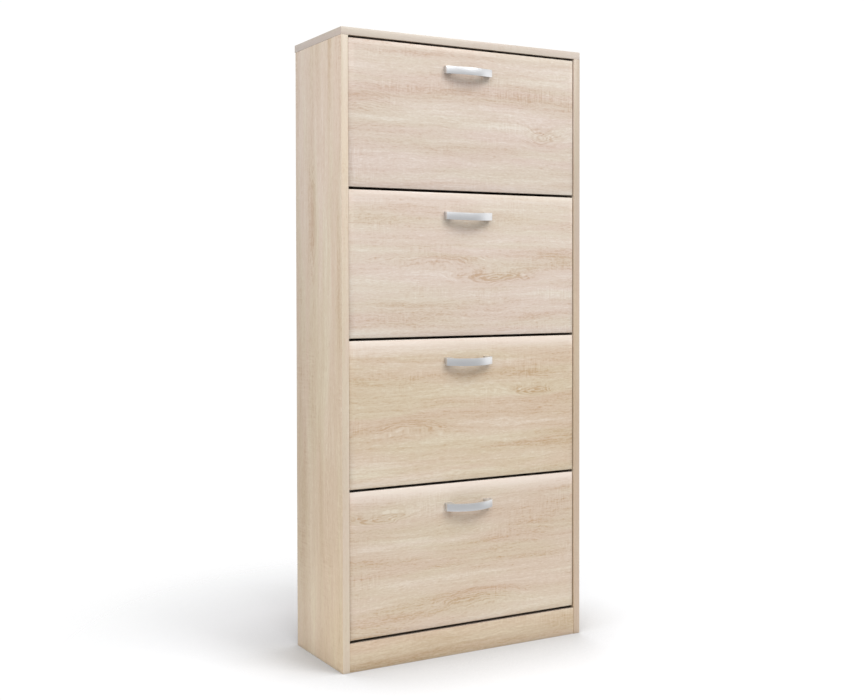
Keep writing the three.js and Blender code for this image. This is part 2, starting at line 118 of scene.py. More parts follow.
class Graph:
    """Short spellings for the nodes of one shader tree.

    Attributes:
        MIX_FIRST: The number of a Mix node's first colour input.
        MIX_SECOND: The number of its second colour input.
        MIX_RESULT: The number of its colour output.
    """

    MIX_FIRST = 6
    MIX_SECOND = 7
    MIX_RESULT = 2

    def __init__(self, tree: NodeTree) -> None:
        """Works on the tree of a material, a world or a node group."""
        self.tree = tree

    def node(self, kind: str, inputs: Optional[dict] = None, **settings: object) -> Node:
        """Adds a node.

        Args:
            kind: The node's type name.
            inputs: Socket names or numbers, each with a value or a socket to link.
            **settings: Properties to set before the inputs.

        Returns:
            The new node.
        """
        node = self.tree.nodes.new(kind)
        for name, value in settings.items():
            setattr(node, name, value)
        for key, value in (inputs or {}).items():
            self.put(node.inputs[key], value)
        return node

    def put(self, socket: Socket, value: Value) -> None:
        """Links a socket to the given one, or sets its value.

        Args:
            socket: The input to feed.
            value: Another node's output, a number, or a colour or vector.
        """
        if isinstance(value, Socket):
            self.tree.links.new(value, socket)
            return
        if socket.type == "RGBA" and len(value) == 3:
            value = (*value, 1.0)
        socket.default_value = value

    def math(self, operation: str, *values: Value, clamp: bool = False) -> Socket:
        """Returns the result of a Math node on some values, which can be kept from 0 to 1."""
        inputs = dict(enumerate(values))
        return self.node("ShaderNodeMath", inputs, operation=operation, use_clamp=clamp).outputs[0]

    def scaled(self, value: Value, factor: Value, offset: Value = 0.0) -> Socket:
        """Returns value times factor plus offset."""
        return self.math("MULTIPLY_ADD", value, factor, offset)

    def vector(self, x: Value, y: Value, z: Value) -> Socket:
        """Returns a vector made of three numbers."""
        return self.node("ShaderNodeCombineXYZ", {0: x, 1: y, 2: z}).outputs[0]

    def split(self, vector: Value) -> Sequence[Socket]:
        """Returns the three numbers of a vector."""
        return self.node("ShaderNodeSeparateXYZ", {0: vector}).outputs

    def centred(self, value: Value, size: float) -> Socket:
        """Turns a value from 0 to 1 into one of the given size, with its middle at 0."""
        return self.scaled(value, size, -size / 2)

    def noise(
        self, vector: Value, scale: float = 1.0, detail: float = 2.0, roughness: float = 0.5
    ) -> Socket:
        """Returns the value of a Noise texture at a place, from 0 to 1."""
        inputs = {"Vector": vector, "Scale": scale, "Detail": detail, "Roughness": roughness}
        return self.node("ShaderNodeTexNoise", inputs).outputs["Fac"]

    def openness(self, distance: Value) -> Socket:
        """Returns how open the surroundings of a place are within a distance, 1 when nothing is near."""
        return self.node("ShaderNodeAmbientOcclusion", {"Distance": distance}, samples=4).outputs["AO"]

    def remap(
        self, value: Value, low: float, high: float, to_low: float = 0.0, to_high: float = 1.0
    ) -> Socket:
        """Maps a value from one range to another, with soft ends."""
        inputs = {0: value, 1: low, 2: high, 3: to_low, 4: to_high}
        return self.node("ShaderNodeMapRange", inputs, interpolation_type="SMOOTHSTEP").outputs[0]

    def blend(self, factor: Value, first: Value, second: Value, how: str = "MIX") -> Socket:
        """Mixes two colours.

        Args:
            factor: The second colour's share.
            first: The colour at 0.
            second: The colour at 1.
            how: The blend type.

        Returns:
            The mixed colour.
        """
        node = self.node("ShaderNodeMix", data_type="RGBA", blend_type=how)
        self.put(node.inputs["Factor"], factor)
        self.put(node.inputs[self.MIX_FIRST], first)
        self.put(node.inputs[self.MIX_SECOND], second)
        return node.outputs[self.MIX_RESULT]

    def grey_tint(self, colour: Colour, shade: Socket) -> Socket:
        """Multiplies a colour by a grey shade."""
        return self.blend(1.0, colour, self.vector(shade, shade, shade), "MULTIPLY")

    def group(self, tree: NodeTree, **inputs: Value) -> Node:
        """Places a node group with its own values.

        Args:
            tree: The group's tree.
            **inputs: Values by socket name, with an underscore for each space.

        Returns:
            The group node.
        """
        node = self.node("ShaderNodeGroup", node_tree=tree)
        for name, value in inputs.items():
            self.put(node.inputs[name.replace("_", " ")], value)
        return node


GroupBody = Callable[[Graph, dict[str, Socket]], dict[str, Socket]]
SOCKET_TYPES = {"value": "NodeSocketFloat", "colour": "NodeSocketColor", "vector": "NodeSocketVector"}


def make_group(name: str, inputs: dict[str, str], outputs: dict[str, str], body: GroupBody) -> NodeTree:
    """Builds a shader node group.

    Args:
        name: The group's name.
        inputs: Input names, each with its kind in SOCKET_TYPES.
        outputs: Output names, each with its kind.
        body: Makes the nodes from the inputs, and returns what feeds each output.

    Returns:
        The group's tree.
    """
    tree = bpy.data.node_groups.new(name, "ShaderNodeTree")
    for label, kind in inputs.items():
        tree.interface.new_socket(name=label, in_out="INPUT", socket_type=SOCKET_TYPES[kind])
    for label, kind in outputs.items():
        tree.interface.new_socket(name=label, in_out="OUTPUT", socket_type=SOCKET_TYPES[kind])
    graph = Graph(tree)
    entry = graph.node("NodeGroupInput")
    results = body(graph, {label: entry.outputs[label] for label in inputs})
    graph.node("NodeGroupOutput", results)
    return tree


@dataclass(frozen=True)
class Layer:
    """One noise of the oak figure.

    Attributes:
        along: How often it changes along a metre of the grain.
        across: How often it changes across a metre of the grain.
        shift: Picks its own stretch of noise.
        detail: Its octaves.
    """

    along: float
    across: float
    shift: float
    detail: float = 2.0


WANDER = Layer(1.6, 5.0, 0.0)
RIPPLE = Layer(15.0, 45.0, 5.0, 3.0)
FEATHER = Layer(60.0, 150.0, 7.0)
UNEVEN = Layer(16.0, 60.0, 9.0, 1.0)
ZONES = Layer(1.5, 17.0, 2.0)
BANDS = Layer(2.2, 60.0, 11.0, 3.0)
STREAKS = Layer(10.0, 250.0, 12.0, 3.0)
FIBRES = Layer(65.0, 800.0, 14.0)
WOOL = Layer(150.0, 420.0, 17.0)
PORES = Layer(34.0, 560.0, 3.0, 1.0)
SAW_PATCHES = Layer(5.0, 15.0, 37.0)
SAW_LINES = Layer(270.0, 30.0, 31.0, 1.0)
HUES = Layer(2.6, 24.0, 43.0)
ROSY: Colour = (1.0, 0.975, 0.985)
STRAW: Colour = (0.985, 1.0, 0.965)
RINGS_PER_METRE = 1500.0
WHORL_TURNS = 19.0


@lru_cache(maxsize=None)
def oak_figure_group() -> NodeTree:
    """The printed oak figure: streaks that flow about two knots, soft colour zones, pores and saw marks.

    Returns:
        The group's tree.
    """

    def body(g: Graph, given: dict[str, Socket]) -> dict[str, Socket]:
        """Makes the figure from distances along and across the grain.

        Args:
            g: The group's nodes.
            given: Its inputs, by name.

        Returns:
            What feeds its outputs, by name.
        """
        along, across, seed = given["Along"], given["Across"], given["Seed"]

        def noise(layer: Layer, place: Socket) -> Socket:
            """Reads a layer.

            Args:
                layer: The layer.
                place: How far across the grain it is read.

            Returns:
                Its value, from 0 to 1.
            """
            where = g.vector(
                g.math("MULTIPLY", along, layer.along),
                g.math("MULTIPLY", place, layer.across),
                g.math("ADD", seed, layer.shift),
            )
            return g.noise(where, detail=layer.detail, roughness=0.6)

        def distance(name: str) -> Socket:
            """Measures how far a place is from one knot.

            Args:
                name: The knot's name in the group's inputs.

            Returns:
                The distance, 1 at the knot's reach.
            """
            run = g.math("SUBTRACT", along, given[f"{name} Along"])
            run = g.math("DIVIDE", run, given[f"{name} Length"])
            run = g.math("ADD", run, g.centred(uneven, 1.1))
            rise = g.math("SUBTRACT", bent, given[f"{name} Across"])
            rise = g.math("DIVIDE", rise, given[f"{name} Width"])
            return g.math("SQRT", g.math("ADD", g.math("POWER", run, 2.0), g.math("POWER", rise, 2.0)))

        def swell(far: Socket) -> Socket:
            """Returns a soft hill about a knot, 1 in its middle."""
            return g.math("EXPONENT", g.math("MULTIPLY", g.math("POWER", far, 2.0), -1.0))

        wander = g.centred(noise(WANDER, across), 0.040)
        ripple = g.centred(noise(RIPPLE, across), 0.0090)
        feather = g.centred(noise(FEATHER, across), 0.0026)
        uneven = noise(UNEVEN, across)
        bent = g.math("ADD", across, ripple)
        knot_far = distance("Knot")
        first, second = swell(knot_far), swell(distance("Swirl"))
        flow = g.math("ADD", bent, feather)
        for bend in (wander, g.math("MULTIPLY", first, 0.022), g.math("MULTIPLY", second, -0.016)):
            flow = g.math("ADD", flow, bend)

        zones, bands, streaks, fibres, wool = (
            noise(layer, flow) for layer in (ZONES, BANDS, STREAKS, FIBRES, WOOL)
        )
        pores = g.remap(noise(PORES, flow), 0.62, 0.74)
        figured = g.math("MAXIMUM", first, second)
        rings = g.scaled(g.math("SINE", g.math("MULTIPLY", flow, RINGS_PER_METRE)), 0.5, 0.5)
        ring_line = g.math("MULTIPLY", g.math("MULTIPLY", rings, g.remap(figured, 0.12, 0.75)), streaks)
        turn = g.math("ADD", knot_far, g.scaled(wool, 0.16, uneven))
        turns = g.math("SINE", g.math("MULTIPLY", turn, WHORL_TURNS))
        whorl = g.math("MULTIPLY", turns, g.remap(first, 0.18, 0.75))

        saw_patch = g.remap(noise(SAW_PATCHES, across), 0.48, 0.68)
        saw_line = g.math("SUBTRACT", noise(SAW_LINES, across), 0.5)
        saw = g.math("MULTIPLY", saw_patch, saw_line)

        tone = g.centred(zones, 1.1)
        for layer, share in ((bands, 0.70), (streaks, 0.70), (fibres, 0.95), (wool, 0.60)):
            tone = g.math("ADD", tone, g.centred(layer, share))
        for mark, share in ((saw, 0.68), (whorl, 0.20), (ring_line, -0.50), (first, -0.12)):
            tone = g.scaled(mark, share, tone)
        tone = g.math("MULTIPLY_ADD", tone, given["Contrast"], 0.53, clamp=True)
        colour = g.blend(g.remap(tone, 0.0, 0.55), given["Dark"], given["Middle"])
        colour = g.blend(g.remap(tone, 0.5, 1.0), colour, given["Light"])
        colour = g.blend(g.math("MULTIPLY", pores, 0.26), colour, given["Dark"])
        hue = g.remap(noise(HUES, flow), 0.34, 0.66)
        rosy = g.blend(1.0, colour, ROSY, "MULTIPLY")
        straw = g.blend(1.0, colour, STRAW, "MULTIPLY")
        colour = g.blend(hue, rosy, straw)

        roughness = g.scaled(streaks, 0.12, 0.29)
        roughness = g.math("ADD", roughness, g.math("MULTIPLY", pores, 0.10))
        height = g.math("SUBTRACT", g.math("MULTIPLY", fibres, 0.35), g.math("MULTIPLY", pores, 0.7))
        height = g.math("ADD", height, g.math("MULTIPLY", saw, 0.5))
        return {"Color": colour, "Roughness": roughness, "Height": height}

    inputs = {"Along": "value", "Across": "value", "Seed": "value", "Contrast": "value"}
    for name in ("Knot", "Swirl"):
        inputs.update({f"{name} {part}": "value" for part in ("Along", "Across", "Length", "Width")})
    inputs.update({"Light": "colour", "Middle": "colour", "Dark": "colour"})
    outputs = {"Color": "colour", "Roughness": "value", "Height": "value"}
    return make_group("oak figure", inputs, outputs, body)


@lru_cache(maxsize=None)
def edge_wear_group() -> NodeTree:
    """A mask of rubbed edges: 1 on a worn edge, 0 on a flat, broken up by noise.

    Returns:
        The group's tree.
    """

    def body(g: Graph, given: dict[str, Socket]) -> dict[str, Socket]:
        """Compares the true normal with one that is rounded over the edge.

        Args:
            g: The group's nodes.
            given: Its inputs, by name.

        Returns:
            What feeds its outputs, by name.
        """
        rounded = g.node("ShaderNodeBevel", {"Radius": given["Radius"]}, samples=4).outputs[0]
        normal = g.node("ShaderNodeNewGeometry").outputs["Normal"]
        match = g.node("ShaderNodeVectorMath", {0: rounded, 1: normal}, operation="DOT_PRODUCT")
        edge = g.remap(match.outputs["Value"], 0.995, 0.86)
        patches = g.remap(g.noise(given["Vector"], scale=55.0, detail=4.0), 0.34, 0.62, 0.25, 1.0)
        worn = g.math("MULTIPLY", edge, patches)
        return {"Mask": g.math("MULTIPLY", worn, given["Amount"], clamp=True)}

    inputs = {"Vector": "vector", "Radius": "value", "Amount": "value"}
    return make_group("edge wear", inputs, {"Mask": "value"}, body)


@lru_cache(maxsize=None)
def crevice_group() -> NodeTree:
    """A mask of painted shade in deep, narrow gaps: 1 inside a gap, 0 in the open.

    Returns:
        The group's tree.
    """

    def body(g: Graph, given: dict[str, Socket]) -> dict[str, Socket]:
        """Reads how shut in a place is; the painted shade is strongest on level faces.

        Args:
            g: The group's nodes.
            given: Its inputs, by name.

        Returns:
            What feeds its outputs, by name.
        """
        open_share = g.openness(given["Distance"])
        patches = g.noise(given["Vector"], scale=90.0, detail=2.0)
        edge = g.scaled(patches, 0.10, 0.44)
        shut = g.math("DIVIDE", g.math("SUBTRACT", edge, open_share), 0.22, clamp=True)
        level = g.math("ABSOLUTE", g.split(g.node("ShaderNodeNewGeometry").outputs["Normal"])[2])
        share = g.math("MULTIPLY", given["Amount"], g.scaled(level, 0.85, 0.15))
        return {"Mask": g.math("MULTIPLY", shut, share, clamp=True)}

    inputs = {"Vector": "vector", "Distance": "value", "Amount": "value"}
    return make_group("crevice", inputs, {"Mask": "value"}, body)


@lru_cache(maxsize=None)
def handling_group() -> NodeTree:
    """Changes in gloss from wiping and handling, and a faint dust tone.

    Returns:
        The group's tree.
    """

    def body(g: Graph, given: dict[str, Socket]) -> dict[str, Socket]:
        """Adds broad smudges to fine specks.

        Args:
            g: The group's nodes.
            given: Its inputs, by name.

        Returns:
            What feeds its outputs, by name.
        """
        smudges = g.noise(given["Vector"], scale=7.0, detail=3.0, roughness=0.6)
        specks = g.noise(given["Vector"], scale=420.0, detail=1.0)
        change = g.math("ADD", g.centred(smudges, 0.16), g.centred(specks, 0.06))
        roughness = g.scaled(change, given["Amount"], given["Roughness"])
        dust = g.math("MULTIPLY", g.remap(smudges, 0.42, 0.75), given["Amount"])
        return {"Roughness": roughness, "Dust": g.math("MULTIPLY", dust, 0.05)}

    inputs = {"Vector": "vector", "Roughness": "value", "Amount": "value"}
    return make_group("handling", inputs, {"Roughness": "value", "Dust": "value"}, body)


@lru_cache(maxsize=None)
def flake_group() -> NodeTree:
    """Pressed wood: flakes of a given size in light and dark tones.

    Returns:
        The group's tree.
    """

    def body(g: Graph, given: dict[str, Socket]) -> dict[str, Socket]:
        """Tones each flake by its cell's own number.

        Args:
            g: The group's nodes.
            given: Its inputs, by name.

        Returns:
            What feeds its outputs, by name.
        """
        flakes = g.node("ShaderNodeTexVoronoi", {"Vector": given["Vector"], "Scale": given["Scale"]})
        tone = g.split(flakes.outputs["Color"])[0]
        fibres = g.noise(given["Vector"], scale=900.0, detail=3.0, roughness=0.7)
        tone = g.math("ADD", g.math("MULTIPLY", tone, 0.7), g.math("MULTIPLY", fibres, 0.4))
        colour = g.blend(g.remap(tone, 0.2, 0.9), given["Dark"], given["Light"])
        height = g.scaled(flakes.outputs["Distance"], 0.6, g.math("MULTIPLY", fibres, 0.4))
        return {"Color": colour, "Height": height}

    inputs = {"Vector": "vector", "Scale": "value", "Light": "colour", "Dark": "colour"}
    return make_group("pressed flakes", inputs, {"Color": "colour", "Height": "value"}, body)


def edge_wear(g: Graph, place: Socket, radius: float, amount: float) -> Socket:
    """Returns the mask of worn edges, with its reach in from an edge and its strength."""
    return g.group(edge_wear_group(), Vector=place, Radius=radius, Amount=amount).outputs["Mask"]


def handling(g: Graph, place: Socket, roughness: Value, amount: float = 1.0) -> tuple[Socket, Socket]:
    """Returns a clean surface's roughness once it is handled, and the share of dust on it."""
    outputs = g.group(handling_group(), Vector=place, Roughness=roughness, Amount=amount).outputs
    return outputs["Roughness"], outputs["Dust"]


# ---- Finishes ----------------------------------------


class Finish:
    """A surface finish that makes its material once."""

    name: str

    def material(self) -> bpy.types.Material:
        """Builds the finish's material the first time that it is asked for.

        Returns:
            The material.
        """
        found = bpy.data.materials.get(self.name)
        if found:
            return found
        material = bpy.data.materials.new(self.name)
        material.use_nodes = True
        material.node_tree.nodes.clear()
        graph = Graph(material.node_tree)
        shader = graph.node("ShaderNodeBsdfPrincipled")
        output = graph.node("ShaderNodeOutputMaterial")
        graph.put(output.inputs["Surface"], shader.outputs[0])
        place = graph.node("ShaderNodeTexCoord").outputs["Object"]
        self.dress(graph, shader, place)
        return material

    def dress(self, g: Graph, shader: Node, place: Socket) -> None:
        """Feeds the shader; every finish has its own way."""
        raise NotImplementedError

    @staticmethod
    def bump(g: Graph, shader: Node, height: Socket, distance: float, strength: float) -> None:
        """Adds relief to the shader's normal, with its depth in metres at a height of 1."""
        inputs = {"Height": height, "Distance": distance, "Strength": strength}
        g.put(shader.inputs["Normal"], g.node("ShaderNodeBump", inputs).outputs[0])


# The colour of the painted sheen on the flaps' upper slopes.
PAINTED_SHEEN_OAK = "f0e4dc"
WORN_OAK = "f0e6da"
OAK_DUST = "d9d2c8"
# The colour of the painted shade in deep, narrow gaps.
PAINTED_GAP_SHADE = "20160f"


@dataclass(frozen=True)
class OakTones:
    """The three tones of an oak decor, as display colours.

    Attributes:
        light: The tone between the streaks.
        middle: The tone of most of the figure.
        dark: The tone of the streaks and pores.
    """

    light: str = "e6dacb"
    middle: str = "dac6b0"
    dark: str = "c4a582"


@dataclass(frozen=True)
class Knot:
    """A place that the grain flows about.

    Attributes:
        along: Its place along the grain.
        across: Its place across the grain.
        length: Its reach along the grain.
        width: Its reach across the grain.
    """

    along: float = 9.0
    across: float = 9.0
    length: float = 0.1
    width: float = 0.02


@dataclass(frozen=True)
class OakDecor(Finish):
    """A light oak foil over board, with its grain along one axis of the piece.

    Attributes:
        name: The material's name.
        grain: The axis that the grain follows.
        across: The axis across the grain on the piece's visible face.
        seed: Picks the stretch of decor.
        knot: The darker of its two knots, which lifts the grain.
        swirl: The other one, which draws the grain down.
        tones: The decor's colours.
        contrast: How strong the figure is.
        warmth: How far the decor takes on the tint at the end of the warm stretch.
        warm_stretch: Where the decor starts and ends to take on the tint along the grain.
        tint: What the tint does to red, green and blue.
        pale: How much paler the decor is past the end of the sheen stretch, as a painted sheen.
        pale_stretch: Where the decor starts and ends to get paler across the grain, as a painted sheen.
    """

    name: str
    grain: Axis
    across: Axis
    seed: float = 0.0
    knot: Knot = Knot()
    swirl: Knot = Knot()
    tones: OakTones = OakTones()
    contrast: float = 1.0
    warmth: float = 0.0
    warm_stretch: Span = (1.2, 0.1)
    tint: Colour = (0.96, 0.92, 0.80)
    pale: float = 0.0
    pale_stretch: Span = (0.0, 1.0)

    def dress(self, g: Graph, shader: Node, place: Socket) -> None:
        """Lays the decor with its painted sheen and painted gap shade, rubs its edges and gives it a fine
        relief.

        Args:
            g: The material's nodes.
            shader: Its Principled BSDF.
            place: The piece's own coordinates.
        """
        parts = g.split(place)
        along, across = parts[self.grain.value], parts[self.across.value]
        given = {part.title(): linear(code) for part, code in asdict(self.tones).items()}
        for name, knot in (("Knot", self.knot), ("Swirl", self.swirl)):
            given.update({f"{name}_{part.title()}": value for part, value in asdict(knot).items()})
        given.update(Along=along, Across=across, Seed=self.seed, Contrast=self.contrast)
        figure = g.group(oak_figure_group(), **given)
        roughness, dust = handling(g, place, figure.outputs["Roughness"])
        colour = figure.outputs["Color"]
        if self.warmth:
            warm = g.remap(along, *self.warm_stretch, 0.0, self.warmth)
            colour = g.blend(warm, colour, g.blend(1.0, colour, self.tint, "MULTIPLY"))
        # Painted sheen: the decor turns paler towards the end of the stretch across the grain.
        if self.pale:
            rubbed = g.remap(across, *self.pale_stretch, 0.0, self.pale)
            colour = g.blend(rubbed, colour, linear(PAINTED_SHEEN_OAK))
        colour = g.blend(edge_wear(g, place, 1.0 * MM, 0.35), colour, linear(WORN_OAK))
        colour = g.blend(dust, colour, linear(OAK_DUST))
        # Painted shade: deep, narrow gaps are darkened to a near-black brown and made rougher.
        shade = g.group(crevice_group(), Vector=place, Distance=18 * MM, Amount=0.95).outputs["Mask"]
        g.put(shader.inputs["Base Color"], g.blend(shade, colour, linear(PAINTED_GAP_SHADE)))
        g.put(shader.inputs["Roughness"], g.scaled(shade, 0.5, roughness))
        g.put(shader.inputs["Specular IOR Level"], 0.5)
        self.bump(g, shader, figure.outputs["Height"], 0.12 * MM, 0.5)


@dataclass(frozen=True)
class BandLook:
    """The tones of an edge band.

    Attributes:
        tones: The band's own tones.
        tint: What it does to red, green and blue past the end of its stretch.
        stretch: Where the band starts and ends to take on the tint along its length.
    """

    tones: OakTones
    tint: Colour = (1.0, 1.0, 1.0)
    stretch: Span = (0.0, 1.0)


@dataclass(frozen=True)
class RawChipboard(Finish):
    """The bare edge of a chipboard.

    Attributes:
        name: The material's name.
        light: The light flakes' colour.
        dark: The dark flakes' colour.
        flakes_per_metre: How small the flakes are.
    """

    name: str = "raw chipboard"
    light: str = "d3b990"
    dark: str = "a3825a"
    flakes_per_metre: float = 760.0

    def dress(self, g: Graph, shader: Node, place: Socket) -> None:
        """Shows pressed flakes with a rough relief.

        Args:
            g: The material's nodes.
            shader: Its Principled BSDF.
            place: The piece's own coordinates.
        """
        light, dark = linear(self.light), linear(self.dark)
        flakes = g.group(flake_group(), Vector=place, Scale=self.flakes_per_metre, Light=light, Dark=dark)
        g.put(shader.inputs["Base Color"], flakes.outputs["Color"])
        g.put(shader.inputs["Roughness"], g.scaled(flakes.outputs["Height"], 0.15, 0.78))
        self.bump(g, shader, flakes.outputs["Height"], 0.4 * MM, 0.7)


@dataclass(frozen=True)
class Hardboard(Finish):
    """The brown outer face of the thin back sheets.

    Attributes:
        name: The material's name.
        light: The light fibres' colour.
        dark: The dark fibres' colour.
        mottle: The colour of the broad mottle.
        rubbed: The colour of rubbed edges.
        fibres_per_metre: How small the fibres are.
    """

    name: str = "hardboard"
    light: str = "b28d63"
    dark: str = "8a6742"
    mottle: str = "9c7850"
    rubbed: str = "cfb28b"
    fibres_per_metre: float = 1300.0

    def dress(self, g: Graph, shader: Node, place: Socket) -> None:
        """Mixes fine fibres with a broad mottle and rubbed edges.

        Args:
            g: The material's nodes.
            shader: Its Principled BSDF.
            place: The piece's own coordinates.
        """
        light, dark = linear(self.light), linear(self.dark)
        fibres = g.group(flake_group(), Vector=place, Scale=self.fibres_per_metre, Light=light, Dark=dark)
        mottle = g.remap(g.noise(place, scale=9.0, detail=5.0, roughness=0.65), 0.35, 0.7, 0.0, 0.35)
        colour = g.blend(mottle, fibres.outputs["Color"], linear(self.mottle))
        colour = g.blend(edge_wear(g, place, 1.0 * MM, 0.8), colour, linear(self.rubbed))
        g.put(shader.inputs["Base Color"], colour)
        g.put(shader.inputs["Roughness"], handling(g, place, 0.62)[0])
        self.bump(g, shader, fibres.outputs["Height"], 0.25 * MM, 0.6)


@dataclass(frozen=True)
class Lacquer(Finish):
    """A thin painted coat, as on the inner face of the back sheets.

    Attributes:
        name: The material's name.
        colour: The paint's colour.
        roughness: How matt it is.
        dust: The colour of dust on it.
        bared: The colour of the board at worn edges.
    """

    name: str
    colour: str
    roughness: float = 0.45
    dust: str = "b9b3a8"
    bared: str = "a98a63"

    def dress(self, g: Graph, shader: Node, place: Socket) -> None:
        """Adds a faint orange peel and handling marks to the colour.

        Args:
            g: The material's nodes.
            shader: Its Principled BSDF.
            place: The piece's own coordinates.
        """
        roughness, dust = handling(g, place, self.roughness)
        colour = g.blend(dust, linear(self.colour), linear(self.dust))
        colour = g.blend(edge_wear(g, place, 0.8 * MM, 0.6), colour, linear(self.bared))
        g.put(shader.inputs["Base Color"], colour)
        g.put(shader.inputs["Roughness"], roughness)
        self.bump(g, shader, g.noise(place, scale=600.0, detail=2.0), 0.06 * MM, 0.5)


@dataclass(frozen=True)
class MouldedPlastic(Finish):
    """Pale moulded plastic with a fine sparked grain.

    Attributes:
        name: The material's name.
        colour: The plastic's colour.
        roughness: How matt it is.
        dust: The colour of dust on it.
        scuffed: The colour of scuffed edges.
    """

    name: str
    colour: str
    roughness: float = 0.42
    dust: str = "a8a49c"
    scuffed: str = "f7f7f5"

    def dress(self, g: Graph, shader: Node, place: Socket) -> None:
        """Gives the colour a slight flow mottle, scuffed edges and a sparked relief.

        Args:
            g: The material's nodes.
            shader: Its Principled BSDF.
            place: The piece's own coordinates.
        """
        grain = g.noise(place, scale=1500.0, detail=2.0, roughness=0.6)
        flow = g.noise(place, scale=26.0, detail=2.0)
        roughness, dust = handling(g, place, self.roughness)
        colour = g.grey_tint(linear(self.colour), g.scaled(flow, 0.08, 0.96))
        colour = g.blend(dust, colour, linear(self.dust))
        colour = g.blend(edge_wear(g, place, 0.7 * MM, 0.55), colour, linear(self.scuffed))
        g.put(shader.inputs["Base Color"], colour)
        g.put(shader.inputs["Roughness"], g.math("ADD", roughness, g.centred(grain, 0.10)))
        self.bump(g, shader, grain, 0.03 * MM, 0.6)


@dataclass(frozen=True)
class SatinMetal(Finish):
    """Satin metal with fine brushing along one axis.

    Attributes:
        name: The material's name.
        colour: The metal's colour.
        roughness: How matt it is.
        polished: The colour of edges that use has polished.
        brushing: The axis that the brush marks follow.
        marks_across: How often the marks change in a metre across them.
        marks_along: How often they change in a metre along them.
    """

    name: str
    colour: str
    roughness: float
    polished: str = "f4f5f6"
    brushing: Axis = Axis.X
    marks_across: float = 1500.0
    marks_along: float = 18.0

    def dress(self, g: Graph, shader: Node, place: Socket) -> None:
        """Draws the brush marks out along their axis, and polishes the edges.

        Args:
            g: The material's nodes.
            shader: Its Principled BSDF.
            place: The piece's own coordinates.
        """
        parts = g.split(place)
        drawn = []
        for axis in Axis:
            scale = self.marks_along if axis is self.brushing else self.marks_across
            drawn.append(g.math("MULTIPLY", parts[axis.value], scale))
        marks = g.noise(g.vector(*drawn), detail=3.0, roughness=0.6)
        wear = edge_wear(g, place, 0.9 * MM, 0.8)
        colour = g.grey_tint(linear(self.colour), g.scaled(marks, 0.14, 0.93))
        handled, _ = handling(g, place, self.roughness, 0.8)
        roughness = g.math("ADD", handled, g.centred(marks, 0.14))
        g.put(shader.inputs["Base Color"], g.blend(wear, colour, linear(self.polished)))
        g.put(shader.inputs["Metallic"], 1.0)
        g.put(shader.inputs["Roughness"], g.scaled(wear, -0.08, roughness))
        self.bump(g, shader, marks, 0.02 * MM, 0.5)


@dataclass(frozen=True)
class StudioFloor(Finish):
    """A plain pale floor that fades out into the surround.

    Attributes:
        name: The material's name.
        full: How far from the middle the floor is whole.
        gone: How far from the middle it has faded out.
        shade_reach: How far the contact shade reaches.
    """

    name: str = "studio floor"
    full: float = 0.35
    gone: float = 1.1
    shade_reach: float = 0.3

    def dress(self, g: Graph, shader: Node, place: Socket) -> None:
        """Sets a near-white matt surface with a soft contact shade, and its fading rim.

        Args:
            g: The material's nodes.
            shader: Its Principled BSDF.
            place: The piece's own coordinates.
        """
        open_share = g.openness(self.shade_reach)
        shade = g.remap(open_share, 0.45, 1.0, 0.58, 1.0)
        cloud = g.math("MULTIPLY", shade, g.scaled(g.noise(place, scale=1.5), 0.02, 0.90))
        far = g.node("ShaderNodeVectorMath", {0: place}, operation="LENGTH").outputs["Value"]
        g.put(shader.inputs["Alpha"], g.remap(far, self.full, self.gone, 1.0, 0.0))
        g.put(shader.inputs["Base Color"], g.vector(cloud, g.scaled(cloud, 1.01), g.scaled(cloud, 1.03)))
        g.put(shader.inputs["Roughness"], 0.9)
        g.put(shader.inputs["Specular IOR Level"], 0.1)


SIDE_TONES = OakTones("e6d9ca", "dac8b5", "c6ab8f")
PLINTH_TONES = OakTones("d1c0aa", "c4ae95", "ae906d")
HOLDER_TONES = OakTones("e3d6c6", "d3c0aa", "b89c7e")
SIDE_KNOT = Knot(0.93, 0.035, 0.12, 0.016)
SIDE_SWIRL = Knot(0.36, -0.02, 0.16, 0.02)
TOP_KNOT = Knot(0.16, 0.05)
FRAME_BAND = BandLook(OakTones("dccfbf", "d0beab", "bca187"))
# Painted shade: the top panel's front band is darker and cooler than the frame's band.
SHADED_TOP_BAND = BandLook(OakTones("d3cbc5", "c7bbb0", "b39d8a"))
# Painted light: the left front band is lighter than the right one, as light falls from the left-front; it
# turns darker towards the top.
LIT_LEFT_BAND = BandLook(OakTones("ded3c4", "d2c2af", "bea48a"), (0.85, 0.865, 0.86), (1.05, 1.28))
# Painted shade: the right front band is darker than the left one, as light falls from the left-front; it
# turns darker and cooler towards the top.
SHADED_RIGHT_BAND = BandLook(OakTones("d0c0ad", "c4b09b", "b09478"), (0.87, 0.915, 0.965), (0.70, 0.95))
RAW = RawChipboard()
HARDBOARD = Hardboard()
BACK_WHITE = Lacquer("back sheet white", "e9e5dd")
STRIP_PLASTIC = MouldedPlastic("strip plastic", "efede8")
FITTING_PLASTIC = MouldedPlastic("fitting plastic", "d6d6d3")
HANDLE_METAL = SatinMetal("satin silver", "dcdddf", roughness=0.42)
ZINC = SatinMetal("zinc plate", "b9bcbf", roughness=0.36)


# ---- Mesh tools ----------------------------------------


def box_mesh(low: Vector, high: Vector) -> BMesh:
    """Makes a box.

    Args:
        low: Its lowest corner.
        high: Its highest corner.

    Returns:
        The mesh of the box.
    """
    bm = bmesh.new()
    bmesh.ops.create_cube(bm, size=1.0)
    bmesh.ops.scale(bm, vec=high - low, verts=bm.verts)
    bmesh.ops.translate(bm, vec=(low + high) / 2, verts=bm.verts)
    bm.normal_update()
    return bm


